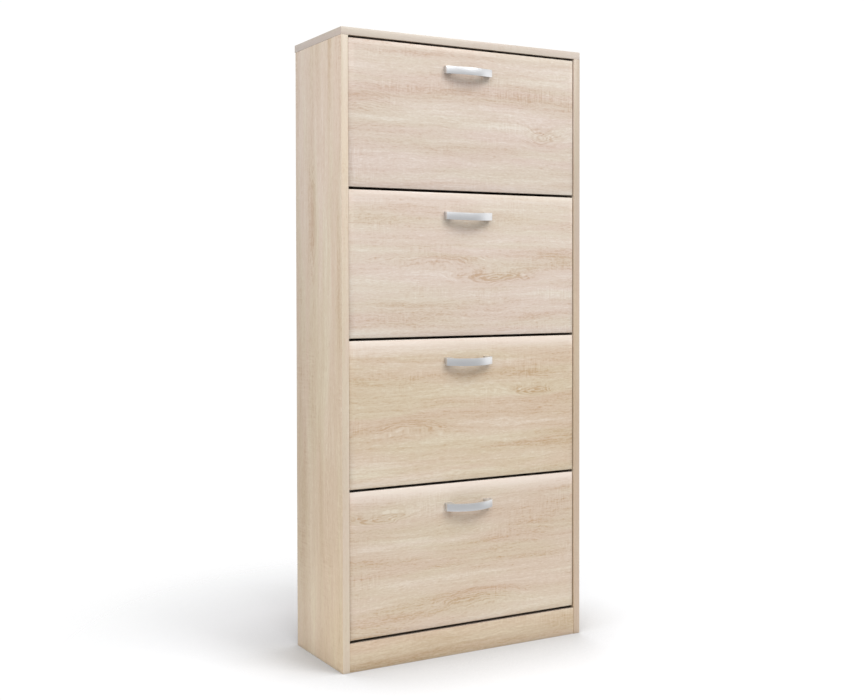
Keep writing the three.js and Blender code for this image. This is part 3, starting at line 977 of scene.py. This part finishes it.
def bevel(bm: BMesh, edges: Iterable[bmesh.types.BMEdge], radius: float, segments: int) -> None:
    """Rounds the given edges.

    Args:
        bm: The mesh.
        edges: Its edges to round.
        radius: The radius in metres.
        segments: How many steps the round has.
    """
    bmesh.ops.bevel(
        bm, geom=list(edges), offset=radius, offset_type="OFFSET", segments=segments, profile=0.5,
        affect="EDGES", material=-1, clamp_overlap=True,
    )


def bends(edge: bmesh.types.BMEdge, angle: float) -> bool:
    """Tells whether the two faces of an edge meet at more than an angle."""
    return len(edge.link_faces) == 2 and edge.calc_face_angle() > angle


def sharp_edges(bm: BMesh) -> list[bmesh.types.BMEdge]:
    """Returns the edges of a mesh that are sharp enough to be rounded."""
    return [edge for edge in bm.edges if bends(edge, SHARP_ANGLE)]


def add_object(name: str, data: bpy.types.ID) -> SceneObject:
    """Puts an object into the scene.

    Args:
        name: The object's name.
        data: Its mesh, light or camera.

    Returns:
        The new object.
    """
    made = bpy.data.objects.new(name, data)
    bpy.context.scene.collection.objects.link(made)
    return made


def make_piece(
    name: str, bm: BMesh, finishes: Sequence[Finish], body: str, nodes: Sequence[str] = ()
) -> SceneObject:
    """Turns a mesh into a piece of the cabinet.

    Args:
        name: The piece's name.
        bm: Its mesh, which is freed.
        finishes: Its finishes, in the order of the faces' material numbers.
        body: The body that it rides on.
        nodes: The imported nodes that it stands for.

    Returns:
        The new object.
    """
    data = bpy.data.meshes.new(name)
    for face in bm.faces:
        face.smooth = True
    for edge in bm.edges:
        edge.smooth = not bends(edge, SMOOTH_ANGLE)
    bm.to_mesh(data)
    bm.free()
    for finish in finishes:
        data.materials.append(finish.material())
    piece = add_object(name, data)
    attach(piece, body)
    if nodes:
        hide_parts(*nodes)
    return piece


def merged_copy(node: str) -> BMesh:
    """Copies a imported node's mesh and joins its loose triangles into flat faces.

    Args:
        node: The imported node.

    Returns:
        The copy.
    """
    bm = bmesh.new()
    bm.from_mesh(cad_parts[node].data)
    bmesh.ops.remove_doubles(bm, verts=bm.verts, dist=MERGE_REACH)
    bmesh.ops.dissolve_limit(bm, angle_limit=FLAT_ANGLE, verts=bm.verts, edges=bm.edges)
    bm.normal_update()
    return bm


def moulded_piece(
    node: str, word: str, finish: Finish, radius: float, body: str = "carcass"
) -> SceneObject:
    """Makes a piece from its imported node, with its edges broken.

    Args:
        node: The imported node.
        word: What the piece's name adds to the node's.
        finish: Its finish.
        radius: How far the edges are rounded.
        body: The body that it rides on.

    Returns:
        The new object.
    """
    bm = merged_copy(node)
    bevel(bm, sharp_edges(bm), radius, 2)
    return make_piece(f"{node}_{word}", bm, [finish], body, [node])


# ---- Boards ----------------------------------------


def band_decor(length: Axis, thickness: Axis, look: BandLook) -> OakDecor:
    """Makes the finish of an edge band.

    Args:
        length: The axis that the edge runs along.
        thickness: The axis through the board.
        look: The band's look.

    Returns:
        The finish.
    """
    name = f"oak edge band {length.name}{thickness.name} {look.tones.middle}".lower()
    seed = 40.0 + length.value * 3 + thickness.value
    return OakDecor(
        name, length, thickness, seed=seed, tones=look.tones, contrast=0.6, warmth=1.0,
        warm_stretch=look.stretch, tint=look.tint,
    )


@dataclass
class Board:
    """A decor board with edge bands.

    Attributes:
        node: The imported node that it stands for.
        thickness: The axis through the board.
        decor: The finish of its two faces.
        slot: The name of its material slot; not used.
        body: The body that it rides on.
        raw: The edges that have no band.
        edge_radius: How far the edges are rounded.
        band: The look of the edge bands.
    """

    node: str
    thickness: Axis
    decor: OakDecor
    slot: str = "oak_board"
    body: str = "carcass"
    raw: frozenset[Edge] = frozenset()
    edge_radius: float = 0.7 * MM
    band: BandLook = FRAME_BAND

    def shape(self) -> BMesh:
        """Returns the board's plain shape."""
        return box_mesh(*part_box(self.node))

    def sides_met(self, place: Vector) -> int:
        """Counts the outer sides of the board that a place lies on."""
        spans = zip(place, *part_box(self.node))
        return sum(min(abs(value - low), abs(high - value)) < TOUCH for value, low, high in spans)

    def finish_of(self, face: bmesh.types.BMFace) -> Finish:
        """Chooses the finish of a face: decor, a band, or raw board at raw edges and inside holes.

        Args:
            face: The face.

        Returns:
            Its finish.
        """
        axis = max(Axis, key=lambda each: abs(face.normal[each.value]))
        edge = Edge((axis, 1 if face.normal[axis.value] > 0 else -1))
        inside = not self.sides_met(face.calc_center_median())
        if inside or (edge in self.raw and axis is not self.thickness):
            return RAW
        if axis is self.thickness:
            return self.decor
        length = next(each for each in Axis if each not in (axis, self.thickness))
        return band_decor(length, self.thickness, self.band)

    def build(self) -> SceneObject:
        """Makes the board, with its faces, bands and raw edges dressed apart.

        Returns:
            The board.
        """
        bm = self.shape()
        finishes: list[Finish] = [self.decor]
        for face in bm.faces:
            finish = self.finish_of(face)
            if finish not in finishes:
                finishes.append(finish)
            face.material_index = finishes.index(finish)
        middles = {edge: (edge.verts[0].co + edge.verts[1].co) / 2 for edge in bm.edges}
        rim = [edge for edge, middle in middles.items() if self.sides_met(middle) == 2]
        bevel(bm, rim, self.edge_radius, 2)
        return make_piece(f"{self.node}_board", bm, finishes, self.body, [self.node])


@dataclass
class DrilledBoard(Board):
    """A board with blind holes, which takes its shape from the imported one."""

    def shape(self) -> BMesh:
        """Returns the board's shape with its holes."""
        return merged_copy(self.node)


@dataclass
class Carcass:
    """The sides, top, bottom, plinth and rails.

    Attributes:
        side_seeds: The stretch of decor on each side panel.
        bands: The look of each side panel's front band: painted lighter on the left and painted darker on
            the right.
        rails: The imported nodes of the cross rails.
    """

    side_seeds: dict[Side, float] = field(default_factory=lambda: {Side.LEFT: 3.7, Side.RIGHT: 8.2})
    bands: dict[Side, BandLook] = field(
        default_factory=lambda: {Side.LEFT: LIT_LEFT_BAND, Side.RIGHT: SHADED_RIGHT_BAND}
    )
    rails: tuple[str, ...] = ("cross_rail_1", "cross_rail_2", "cross_rail_3", "wall_rail")

    def boards(self) -> list[Board]:
        """Describes the boards of the carcass.

        Returns:
            The boards, not yet made.
        """
        made = []
        for side in Side:
            name = f"side_panel_{side.word}"
            decor = OakDecor(
                f"oak {name}", Axis.Z, Axis.Y, seed=self.side_seeds[side], knot=SIDE_KNOT,
                swirl=SIDE_SWIRL, tones=SIDE_TONES, warmth=1.0,
            )
            raw = frozenset({Edge.BOTTOM, Edge.TOP, Edge.BACK})
            made.append(DrilledBoard(name, Axis.X, decor, raw=raw, band=self.bands[side]))
        top = OakDecor("oak top panel", Axis.X, Axis.Y, seed=5.1, knot=TOP_KNOT)
        made.append(Board("top_panel", Axis.Z, top, raw=frozenset({Edge.BACK}), band=SHADED_TOP_BAND))
        bottom = OakDecor("oak bottom panel", Axis.X, Axis.Y, seed=6.4)
        made.append(Board("bottom_panel", Axis.Z, bottom, raw=frozenset(Edge)))
        plinth = OakDecor("oak plinth", Axis.X, Axis.Z, seed=7.3, tones=PLINTH_TONES)
        made.append(Board("plinth", Axis.Y, plinth, raw=frozenset({Edge.LEFT, Edge.RIGHT, Edge.BOTTOM})))
        rail = OakDecor("oak rail", Axis.X, Axis.Z, seed=9.9)
        for node in self.rails:
            made.append(Board(node, Axis.Y, rail, raw=frozenset({Edge.LEFT, Edge.RIGHT, Edge.TOP})))
        return made

    def build(self) -> None:
        """Makes every board of the carcass."""
        for board in self.boards():
            piece = board.build()
            LOG.info("board %s", piece.name)


# ---- Back panel ----------------------------------------


@dataclass
class BackPanel:
    """Two thin sheets with a joining strip, nailed to the back of the carcass.

    Attributes:
        nail_pitch: The distance between nails.
        nail_margin: How far in from the sheets' edges they are.
        nail_radius: The radius of a nail's head.
        nail_taper: The head's outer radius as a share of its inner one.
        nail_height: How far the head stands out.
        edge_radius: How far the sheets' edges are rounded.
        strip_radius: How far the strip's edges are rounded.
    """

    nail_pitch: float = 0.11
    nail_margin: float = 0.007
    nail_radius: float = 1.6 * MM
    nail_taper: float = 0.6
    nail_height: float = 0.5 * MM
    edge_radius: float = 0.4 * MM
    strip_radius: float = 0.15 * MM

    def sheet(self, node: str) -> SceneObject:
        """Makes one sheet: white inside, brown outside and at its edges.

        Args:
            node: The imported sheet.

        Returns:
            The sheet.
        """
        bm = box_mesh(*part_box(node))
        for face in bm.faces:
            face.material_index = 0 if face.normal.y < -0.5 else 1
        bevel(bm, bm.edges, self.edge_radius, 2)
        return make_piece(f"{node}_board", bm, [BACK_WHITE, HARDBOARD], "carcass", [node])

    def strip(self) -> SceneObject:
        """Makes the joining strip."""
        node = "back_joining_strip"
        return moulded_piece(node, "moulding", STRIP_PLASTIC, self.strip_radius)

    def nail_places(self) -> list[Vector]:
        """Sets out the nails along the outer edges of both sheets.

        Returns:
            The places of their heads.
        """
        low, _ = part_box("back_sheet_lower")
        _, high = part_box("back_sheet_upper")
        left, right = low.x + self.nail_margin, high.x - self.nail_margin
        bottom, top = low.z + self.nail_margin, high.z - self.nail_margin
        rows = round((top - bottom) / self.nail_pitch)
        columns = round((right - left) / self.nail_pitch)
        places = []
        for row in range(rows + 1):
            height = bottom + (top - bottom) * row / rows
            places += [Vector((x, high.y, height)) for x in (left, right)]
        for column in range(1, columns):
            across = left + (right - left) * column / columns
            places.append(Vector((across, high.y, top)))
        return places

    def nails(self) -> SceneObject:
        """Makes the heads of all the nails as one piece.

        Returns:
            The heads.
        """
        bm = bmesh.new()
        turn = Matrix.Rotation(-math.pi / 2, 4, "X")
        outwards = Vector((0, self.nail_height / 2, 0))
        for place in self.nail_places():
            bmesh.ops.create_cone(
                bm, cap_ends=True, segments=12, radius1=self.nail_radius,
                radius2=self.nail_radius * self.nail_taper, depth=self.nail_height,
                matrix=Matrix.Translation(place + outwards) @ turn,
            )
        return make_piece("back_nails", bm, [ZINC], "carcass")

    def build(self) -> None:
        """Makes the sheets, the strip and the nails."""
        for node in ("back_sheet_lower", "back_sheet_upper"):
            LOG.info("back %s", self.sheet(node).name)
        LOG.info("back %s", self.strip().name)
        LOG.info("back %s", self.nails().name)


# ---- Fittings ----------------------------------------


@dataclass
class PanHeadScrew:
    """A pan-head screw with a cross recess, which points forward along Y.

    Attributes:
        head_radius: The radius of its head.
        head_height: How far the head stands out.
        head_taper: The head's outer radius as a share of its inner one.
        head_round: The round of the head's rim as a share of its height.
        recess_arm: Half the length of the cross.
        recess_width: The width of the cross's arms.
        recess_depth: How deep the cross is.
        recess_taper: The size of the cross's bottom as a share of its mouth.
        segments: How many sides the head has.
    """

    head_radius: float = 4.2 * MM
    head_height: float = 2.4 * MM
    head_taper: float = 0.92
    head_round: float = 0.55
    recess_arm: float = 2.2 * MM
    recess_width: float = 0.9 * MM
    recess_depth: float = 1.3 * MM
    recess_taper: float = 0.8
    segments: int = 24

    def mesh(self, seat: Vector) -> BMesh:
        """Makes the head with its underside at a place.

        Args:
            seat: The middle of the head's underside; the head stands towards +Y from there.

        Returns:
            The mesh of the head.
        """
        bm = bmesh.new()
        bmesh.ops.create_cone(
            bm, cap_ends=True, segments=self.segments, radius1=self.head_radius,
            radius2=self.head_radius * self.head_taper, depth=self.head_height,
        )
        bm.normal_update()
        rim = [edge for edge in sharp_edges(bm) if all(vert.co.z > 0 for vert in edge.verts)]
        bevel(bm, rim, self.head_height * self.head_round, 4)
        self.cut_cross(bm)
        bmesh.ops.translate(bm, vec=(0, 0, self.head_height / 2), verts=bm.verts)
        turn = Matrix.Rotation(-math.pi / 2, 3, "X")
        bmesh.ops.rotate(bm, cent=(0, 0, 0), matrix=turn, verts=bm.verts)
        bmesh.ops.translate(bm, vec=seat, verts=bm.verts)
        return bm

    def cut_cross(self, bm: BMesh) -> None:
        """Sinks a cross into the head's flat top.

        Args:
            bm: The head, with its top towards +Z.
        """
        bm.normal_update()
        top = [face for face in bm.faces if face.normal.z > 0.99 and face.calc_center_median().z > 0]
        half = self.recess_width / 2
        for offset in (-self.recess_arm, -half, half, self.recess_arm):
            for direction in (Vector((1, 0, 0)), Vector((0, 1, 0))):
                geometry = top + list({edge for face in top for edge in face.edges})
                geometry += list({vert for face in top for vert in face.verts})
                place = direction * offset
                cut = bmesh.ops.bisect_plane(bm, geom=geometry, plane_co=place, plane_no=direction)
                top = [item for item in cut["geom"] if isinstance(item, bmesh.types.BMFace)]
        cross = [face for face in top if self.in_cross(face.calc_center_median())]
        sunk = bmesh.ops.extrude_face_region(bm, geom=cross)["geom"]
        bmesh.ops.delete(bm, geom=cross, context="FACES_ONLY")
        moved = [item for item in sunk if isinstance(item, bmesh.types.BMVert)]
        bmesh.ops.translate(bm, vec=(0, 0, -self.recess_depth), verts=moved)
        bmesh.ops.scale(bm, vec=(self.recess_taper, self.recess_taper, 1.0), verts=moved)

    def in_cross(self, centre: Vector) -> bool:
        """Tells whether a patch of the head's top belongs to the cross."""
        short, long = sorted((abs(centre.x), abs(centre.y)))
        return short < self.recess_width / 2 and long < self.recess_arm


@dataclass
class Bearings:
    """The bearing fittings in the side panels, one pair for each flap.

    Attributes:
        edge_radius: How far their edges are rounded.
    """

    edge_radius: float = 0.3 * MM

    def build(self, flap_numbers: Iterable[int]) -> None:
        """Makes every fitting.

        Args:
            flap_numbers: The flaps, counted from the top.
        """
        for number in flap_numbers:
            for side in Side:
                node = f"bearing_{number}_{side.word}"
                made = moulded_piece(node, "fitting", FITTING_PLASTIC, self.edge_radius)
                LOG.info("bearing %s", made.name)


# ---- Flaps ----------------------------------------


@dataclass
class BowHandle:
    """A flat bow handle: a curved strap whose two ends stand on the flap.

    Attributes:
        length: The whole length.
        reach: How far the middle stands out.
        end_reach: How far the ends stand out.
        strap: The thickness of the strap.
        foot: The length of a foot.
        height: The height of the strap.
        lean: How far the strap leans down for each metre that it leaves the flap.
        edge_radius: How far the edges are rounded.
        steps: How many steps the bow has.
    """

    length: float = 115 * MM
    reach: float = 25 * MM
    end_reach: float = 10 * MM
    strap: float = 4 * MM
    foot: float = 17 * MM
    height: float = 16 * MM
    lean: float = 0.12
    edge_radius: float = 0.9 * MM
    steps: int = 28

    def arc_reach(self, across: float, back: float) -> float:
        """Returns how far an arc of the strap is from the flap.

        Args:
            across: The distance from the middle, to either side.
            back: How far the arc lies behind the strap's outer face.

        Returns:
            The distance from the flap.
        """
        rise = self.reach - self.end_reach
        outer = ((self.length / 2) ** 2 + rise**2) / (2 * rise)
        return self.reach - outer + math.sqrt((outer - back) ** 2 - across**2)

    def strap_mesh(self) -> BMesh:
        """Makes the curved strap about the middle of the handle.

        Returns:
            The mesh of the strap, with the flap at Y = 0 behind it.
        """
        half = self.length / 2
        bm = box_mesh(Vector((-half, -self.strap, -self.height)), Vector((half, 0, 0)))
        cuts = [half * (2 * step / self.steps - 1) for step in range(1, self.steps)]
        inner_half = half - self.foot
        for place in (*cuts, -inner_half, inner_half):
            geometry = [*bm.verts, *bm.edges, *bm.faces]
            bmesh.ops.bisect_plane(bm, geom=geometry, plane_co=(place, 0, 0), plane_no=(1, 0, 0))
        for vert in bm.verts:
            back = self.strap if vert.co.y > -self.strap / 2 else 0.0
            vert.co.y = -self.arc_reach(vert.co.x, back)
        bm.normal_update()
        return bm

    def add_feet(self, bm: BMesh, base: float) -> None:
        """Draws the two feet out of the strap's back.

        Args:
            bm: The strap.
            base: The gap between the feet and the flap.
        """
        inner_half = self.length / 2 - self.foot
        behind = [face for face in bm.faces if face.normal.y > 0.5]
        soles = [face for face in behind if abs(face.calc_center_median().x) > inner_half]
        drawn = bmesh.ops.extrude_face_region(bm, geom=soles)["geom"]
        bmesh.ops.delete(bm, geom=soles, context="FACES_ONLY")
        for item in drawn:
            if isinstance(item, bmesh.types.BMVert):
                item.co.y = -base
        bmesh.ops.dissolve_limit(bm, angle_limit=FLAT_ANGLE / 2, verts=bm.verts, edges=bm.edges)

    def build(self, name: str, body: str) -> SceneObject:
        """Makes the handle in its packed place.

        Args:
            name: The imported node.
            body: The flap's body.

        Returns:
            The handle.
        """
        low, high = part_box(name)
        flap_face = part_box(f"{body}_front")[0].y
        base = flap_face - high.y
        bm = self.strap_mesh()
        self.add_feet(bm, base)
        for vert in bm.verts:
            vert.co.z += self.lean * vert.co.y
        top = high.z + self.lean * base
        bmesh.ops.translate(bm, vec=((low.x + high.x) / 2, flap_face, top), verts=bm.verts)
        bm.normal_update()
        bevel(bm, sharp_edges(bm), self.edge_radius, 3)
        return make_piece(f"{name}_bow", bm, [HANDLE_METAL], body, [name])


@dataclass
class SoftEdge:
    """The edge of a flap's face: a long soft slope, then a small round to the side.

    Attributes:
        width: How far the slope and the round reach in from the outline.
        tilt: The slope's tilt where it meets the round, in degrees.
        radius: The radius of the small round.
        slope_steps: How many steps the slope has.
        round_steps: How many steps the round has.
        flat: A last flat ring inside the slope, which keeps the face's shading flat.
    """

    width: float = 14 * MM
    tilt: float = 30.0
    radius: float = 1.5 * MM
    slope_steps: int = 8
    round_steps: int = 4
    flat: float = 1 * MM

    def rings(self) -> list[Span]:
        """Sets out the rings from the outline inwards.

        Returns:
            The inset and the depth behind the face of each ring.
        """
        tilt = math.radians(self.tilt)
        slope_end = self.radius * (1 - math.sin(tilt))
        slope_radius = (self.width - slope_end) / math.sin(tilt)
        slope_depth = slope_radius * (1 - math.cos(tilt))
        made = []
        for step in range(self.round_steps, 0, -1):
            angle = tilt + (math.pi / 2 - tilt) * step / self.round_steps
            fall = self.radius * (math.cos(tilt) - math.cos(angle))
            made.append((self.radius * (1 - math.sin(angle)), slope_depth + fall))
        for step in range(self.slope_steps, -1, -1):
            angle = tilt * step / self.slope_steps
            inset = self.width - slope_radius * math.sin(angle)
            made.append((inset, slope_radius * (1 - math.cos(angle))))
        made.append((self.width + self.flat, 0.0))
        return made


FLANGE_SCREW = PanHeadScrew(
    head_radius=3.4 * MM, head_height=1.9 * MM, recess_arm=1.8 * MM, recess_depth=1 * MM
)


@dataclass
class Flap:
    """A tip-out flap with its front, handle, brackets and shoe holder.

    Attributes:
        number: The flap's number, from the top.
        decor: The finish of its front.
        edge: The soft slope about the front.
        corner_radius: The round of its four corners.
        back_radius: The round of its back edges.
        handle: Its handle.
        screw: The screws that hold the handle.
        bracket_radius: How far the brackets' edges are rounded.
        flange: The thickness of a bracket's flange.
        flange_screw: The screws that hold the flanges.
        screw_shares: Their heights as shares of the bracket's height.
        flange_inset: How far they are from the bracket's inner edge.
        holder: The boards of the shoe holder, each with the axis through it.
        holder_radius: How far their edges are rounded.
    """

    number: int
    decor: OakDecor
    edge: SoftEdge = field(default_factory=SoftEdge)
    corner_radius: float = 1.2 * MM
    back_radius: float = 0.5 * MM
    handle: BowHandle = field(default_factory=BowHandle)
    screw: PanHeadScrew = field(default_factory=PanHeadScrew)
    bracket_radius: float = 0.5 * MM
    flange: float = 3 * MM
    flange_screw: PanHeadScrew = field(default_factory=lambda: FLANGE_SCREW)
    screw_shares: tuple[float, ...] = (0.16, 0.55, 0.92)
    flange_inset: float = 8 * MM
    holder: tuple[tuple[str, Axis], ...] = (
        ("front_shelf", Axis.Z), ("rear_shelf", Axis.Z), ("divider", Axis.Y), ("rear_wall", Axis.Y),
    )
    holder_radius: float = 0.5 * MM

    @property
    def body(self) -> str:
        """The body that the flap's pieces ride on."""
        return f"flap_{self.number}"

    def front(self) -> SceneObject:
        """Makes the front: a board whose face falls away softly all round.

        Returns:
            The front.
        """
        node = f"{self.body}_front"
        low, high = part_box(node)
        rings = self.edge.rings()
        bm = box_mesh(low + Vector((0, rings[0][1], 0)), high)
        corners = [edge for edge in bm.edges if abs(edge.verts[0].co.y - edge.verts[1].co.y) > MM]
        face = min(bm.faces, key=lambda each: each.calc_center_median().y)
        for (inset, depth), (next_inset, next_depth) in zip(rings, rings[1:]):
            bmesh.ops.inset_region(
                bm, faces=[face], thickness=next_inset - inset, depth=depth - next_depth,
                use_even_offset=True, use_boundary=True,
            )
        bevel(bm, corners, self.corner_radius, 3)
        far = high.y - TOUCH
        rear = [edge for edge in sharp_edges(bm) if all(vert.co.y > far for vert in edge.verts)]
        bevel(bm, rear, self.back_radius, 2)
        return make_piece(f"{node}_board", bm, [self.decor], self.body, [node])

    def handle_screw(self, side: Side) -> SceneObject:
        """Makes the head of one handle screw, on the back of the front.

        Args:
            side: The screw's side.

        Returns:
            The screw's head.
        """
        node = f"{self.body}_handle_screw_{side.word}"
        low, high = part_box(node)
        seat = Vector(((low.x + high.x) / 2, high.y - self.screw.head_height, (low.z + high.z) / 2))
        bm = self.screw.mesh(seat)
        return make_piece(f"{node}_head", bm, [ZINC], self.body, [node])

    def bracket(self, side: Side) -> SceneObject:
        """Makes a side bracket."""
        node = f"{self.body}_bracket_{side.word}"
        plastic, slot = FITTING_PLASTIC, "fitting_plastic"
        return moulded_piece(node, "moulding", plastic, self.bracket_radius, self.body)

    def flange_screw_head(self, side: Side, share: float) -> SceneObject:
        """Makes one screw that holds a bracket's flange to the front.

        Args:
            side: The bracket's side.
            share: The screw's height as a share of the bracket's.

        Returns:
            The screw's head.
        """
        low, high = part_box(f"{self.body}_bracket_{side.word}")
        inner = high.x if side is Side.LEFT else low.x
        across = inner + side.value * self.flange_inset
        seat = Vector((across, low.y + self.flange, low.z + (high.z - low.z) * share))
        name = f"{self.body}_flange_screw_{side.word}_{round(share * 100)}"
        return make_piece(name, self.flange_screw.mesh(seat), [ZINC], self.body)

    def holder_boards(self) -> list[Board]:
        """Describes the boards of the shoe holder.

        Returns:
            The boards, not yet made.
        """
        made: list[Board] = []
        ends = frozenset({Edge.LEFT, Edge.RIGHT})
        for word, thickness in self.holder:
            across = Axis.Y if thickness is Axis.Z else Axis.Z
            seed = 20.0 + self.number + len(made) * 4.3
            decor = OakDecor(f"oak {self.body} {word}", Axis.X, across, seed=seed, tones=HOLDER_TONES)
            node = f"{self.body}_{word}"
            board = Board(node, thickness, decor, "holder_board", self.body, ends, self.holder_radius)
            made.append(board)
        return made

    def build(self) -> None:
        """Makes every piece of the flap."""
        pieces = [self.front(), self.handle.build(f"{self.body}_handle", self.body)]
        for side in Side:
            pieces += [self.handle_screw(side), self.bracket(side)]
            pieces += [self.flange_screw_head(side, share) for share in self.screw_shares]
        pieces += [board.build() for board in self.holder_boards()]
        for piece in pieces:
            LOG.info("flap %d %s", self.number, piece.name)


@dataclass(frozen=True)
class FrontLook:
    """How one flap front is cut from its decor sheet.

    Attributes:
        tones: The oak's tones.
        knot: The knot, with its height above the front's lower edge.
        swirl: The swirl, with its height above the same edge.
        seed: Picks the stretch of figure.
        pale: How pale the upper slope is: the strength of its painted sheen.
    """

    tones: OakTones
    knot: Knot
    swirl: Knot
    seed: float
    pale: float


FRONT_LOOKS = (
    FrontLook(
        OakTones("d9cfc6", "ccbdb0", "b89e89"),
        Knot(0.20, 0.125, 0.050, 0.024), Knot(-0.25, 0.175, 0.070, 0.026), seed=4.2, pale=0.0,
    ),
    FrontLook(
        OakTones("ded5cb", "d2c3b5", "bda289"),
        Knot(0.07, 0.125, 0.090, 0.016), Knot(-0.10, 0.170, 0.130, 0.020), seed=7.1, pale=0.2,
    ),
    FrontLook(
        OakTones("dbcfbe", "cebca5", "b89977"),
        Knot(0.17, 0.185, 0.060, 0.014), Knot(-0.14, 0.125, 0.150, 0.016), seed=17.6, pale=0.55,
    ),
    FrontLook(
        OakTones("d9cdbe", "ccbba7", "b69777"),
        Knot(-0.20, 0.245, 0.085, 0.012), Knot(0.03, 0.055, 0.110, 0.022), seed=12.9, pale=0.6,
    ),
)
# Where the painted sheen starts and ends, down from a front's top edge.
SHEEN_START = 40 * MM
SHEEN_END = 4 * MM


def flap_decors() -> list[OakDecor]:
    """Lays each front's look on the flap's own place.

    Returns:
        The decor of each flap front, from the top; lower flaps have warmer tones and a stronger painted
        sheen on the upper slope.
    """
    made = []
    for number, look in enumerate(FRONT_LOOKS, start=1):
        low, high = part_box(f"flap_{number}_front")
        made.append(OakDecor(
            f"oak flap {number}", Axis.X, Axis.Z, seed=look.seed,
            knot=replace(look.knot, across=low.z + look.knot.across),
            swirl=replace(look.swirl, across=low.z + look.swirl.across), tones=look.tones,
            pale=look.pale, pale_stretch=(high.z - SHEEN_START, high.z - SHEEN_END),
        ))
    return made


# ---- Studio ----------------------------------------


@dataclass
class Lamp:
    """A soft area light that looks at a point.

    Attributes:
        name: The light's name.
        place: Where it stands.
        aim: The point that it looks at.
        size: The width of its square.
        power: Its power in watts.
    """

    name: str
    place: tuple[float, float, float]
    aim: tuple[float, float, float]
    size: float
    power: float

    def build(self) -> SceneObject:
        """Makes the light.

        Returns:
            The light.
        """
        data = bpy.data.lights.new(self.name, "AREA")
        data.shape = "SQUARE"
        data.size = self.size
        data.energy = self.power
        lamp = add_object(self.name, data)
        lamp.location = self.place
        direction = Vector(self.aim) - Vector(self.place)
        lamp.rotation_euler = direction.to_track_quat("-Z", "Y").to_euler()
        return lamp


@dataclass
class Studio:
    """A plain pale floor, a white surround, soft lights and the camera.

    Attributes:
        floor_half: Half the width of the floor.
        surround: The strength of the surround's light.
        surround_seen: The strength of the surround as the camera sees it.
        lamps: The area lights.
        lens: The camera's focal length in millimetres.
        sensor: The width of its sensor in millimetres.
        shift: Its vertical shift.
        stand: Its place, from the middle of the cabinet's front edge at the floor.
        turn: Its turn about X, Y and Z, in degrees.
    """

    floor_half: float = 9.0
    surround: float = 0.52
    surround_seen: float = 1.02
    lamps: tuple[Lamp, ...] = (
        Lamp("key", (-1.4, -2.4, 3.3), (0.0, -0.1, 0.75), 2.0, 44.0),
        Lamp("upper", (1.4, -2.5, 3.7), (0.0, 0.0, 0.7), 2.0, 92.0),
        Lamp("left", (-3.2, -0.4, 1.5), (-0.3, 0.0, 0.7), 2.2, 30.0),
        Lamp("right", (3.0, -0.6, 1.0), (0.2, -0.1, 0.7), 2.4, 16.0),
        Lamp("rear", (0.6, 2.8, 2.4), (0.0, 0.0, 0.7), 2.4, 24.0),
    )
    lens: float = 50.732
    sensor: float = 36.0
    shift: float = -0.05203
    stand: tuple[float, float, float] = (-1.36933, -2.26833, 0.81071)
    turn: tuple[float, float, float] = (88.862, 0.0957, -29.532)

    def floor(self) -> SceneObject:
        """Makes the floor just at the cabinet's foot.

        Returns:
            The floor.
        """
        bm = bmesh.new()
        bmesh.ops.create_grid(bm, x_segments=1, y_segments=1, size=self.floor_half)
        data = bpy.data.meshes.new("floor")
        bm.to_mesh(data)
        bm.free()
        data.materials.append(StudioFloor().material())
        floor = add_object("floor", data)
        return floor

    def surround_light(self) -> None:
        """Makes a white surround that lights softly and looks plain white."""
        world = bpy.data.worlds.new("studio")
        bpy.context.scene.world = world
        world.use_nodes = True
        world.node_tree.nodes.clear()
        g = Graph(world.node_tree)
        seen = g.node("ShaderNodeLightPath").outputs["Is Camera Ray"]
        strength = g.scaled(seen, self.surround_seen - self.surround, self.surround)
        background = g.node("ShaderNodeBackground", {"Color": (1.0, 1.0, 1.0), "Strength": strength})
        g.node("ShaderNodeOutputWorld", {"Surface": background.outputs[0]})

    def camera(self) -> SceneObject:
        """Makes the camera and sets it as the scene's.

        Returns:
            The camera.
        """
        data = bpy.data.cameras.new("camera")
        data.lens = self.lens
        data.sensor_width = self.sensor
        data.shift_y = self.shift
        camera = add_object("camera", data)
        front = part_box("side_panel_left")[0].y
        camera.location = Vector(self.stand) + Vector((0.0, front, 0.0))
        camera.rotation_euler = [math.radians(angle) for angle in self.turn]
        bpy.context.scene.camera = camera
        return camera

    def build(self) -> None:
        """Makes the studio."""
        bpy.context.scene.view_settings.view_transform = "Standard"
        self.surround_light()
        for made in (self.floor(), self.camera(), *(lamp.build() for lamp in self.lamps)):
            LOG.info("studio %s", made.name)


def main() -> None:
    """Builds the studio and the cabinet."""
    logging.basicConfig(level=logging.INFO, format="%(name)s: %(message)s")
    Studio().build()
    Carcass().build()
    BackPanel().build()
    decors = flap_decors()
    Bearings().build(range(1, len(decors) + 1))
    for number, decor in enumerate(decors, start=1):
        Flap(number, decor).build()


if __name__ == "__main__":
    main()
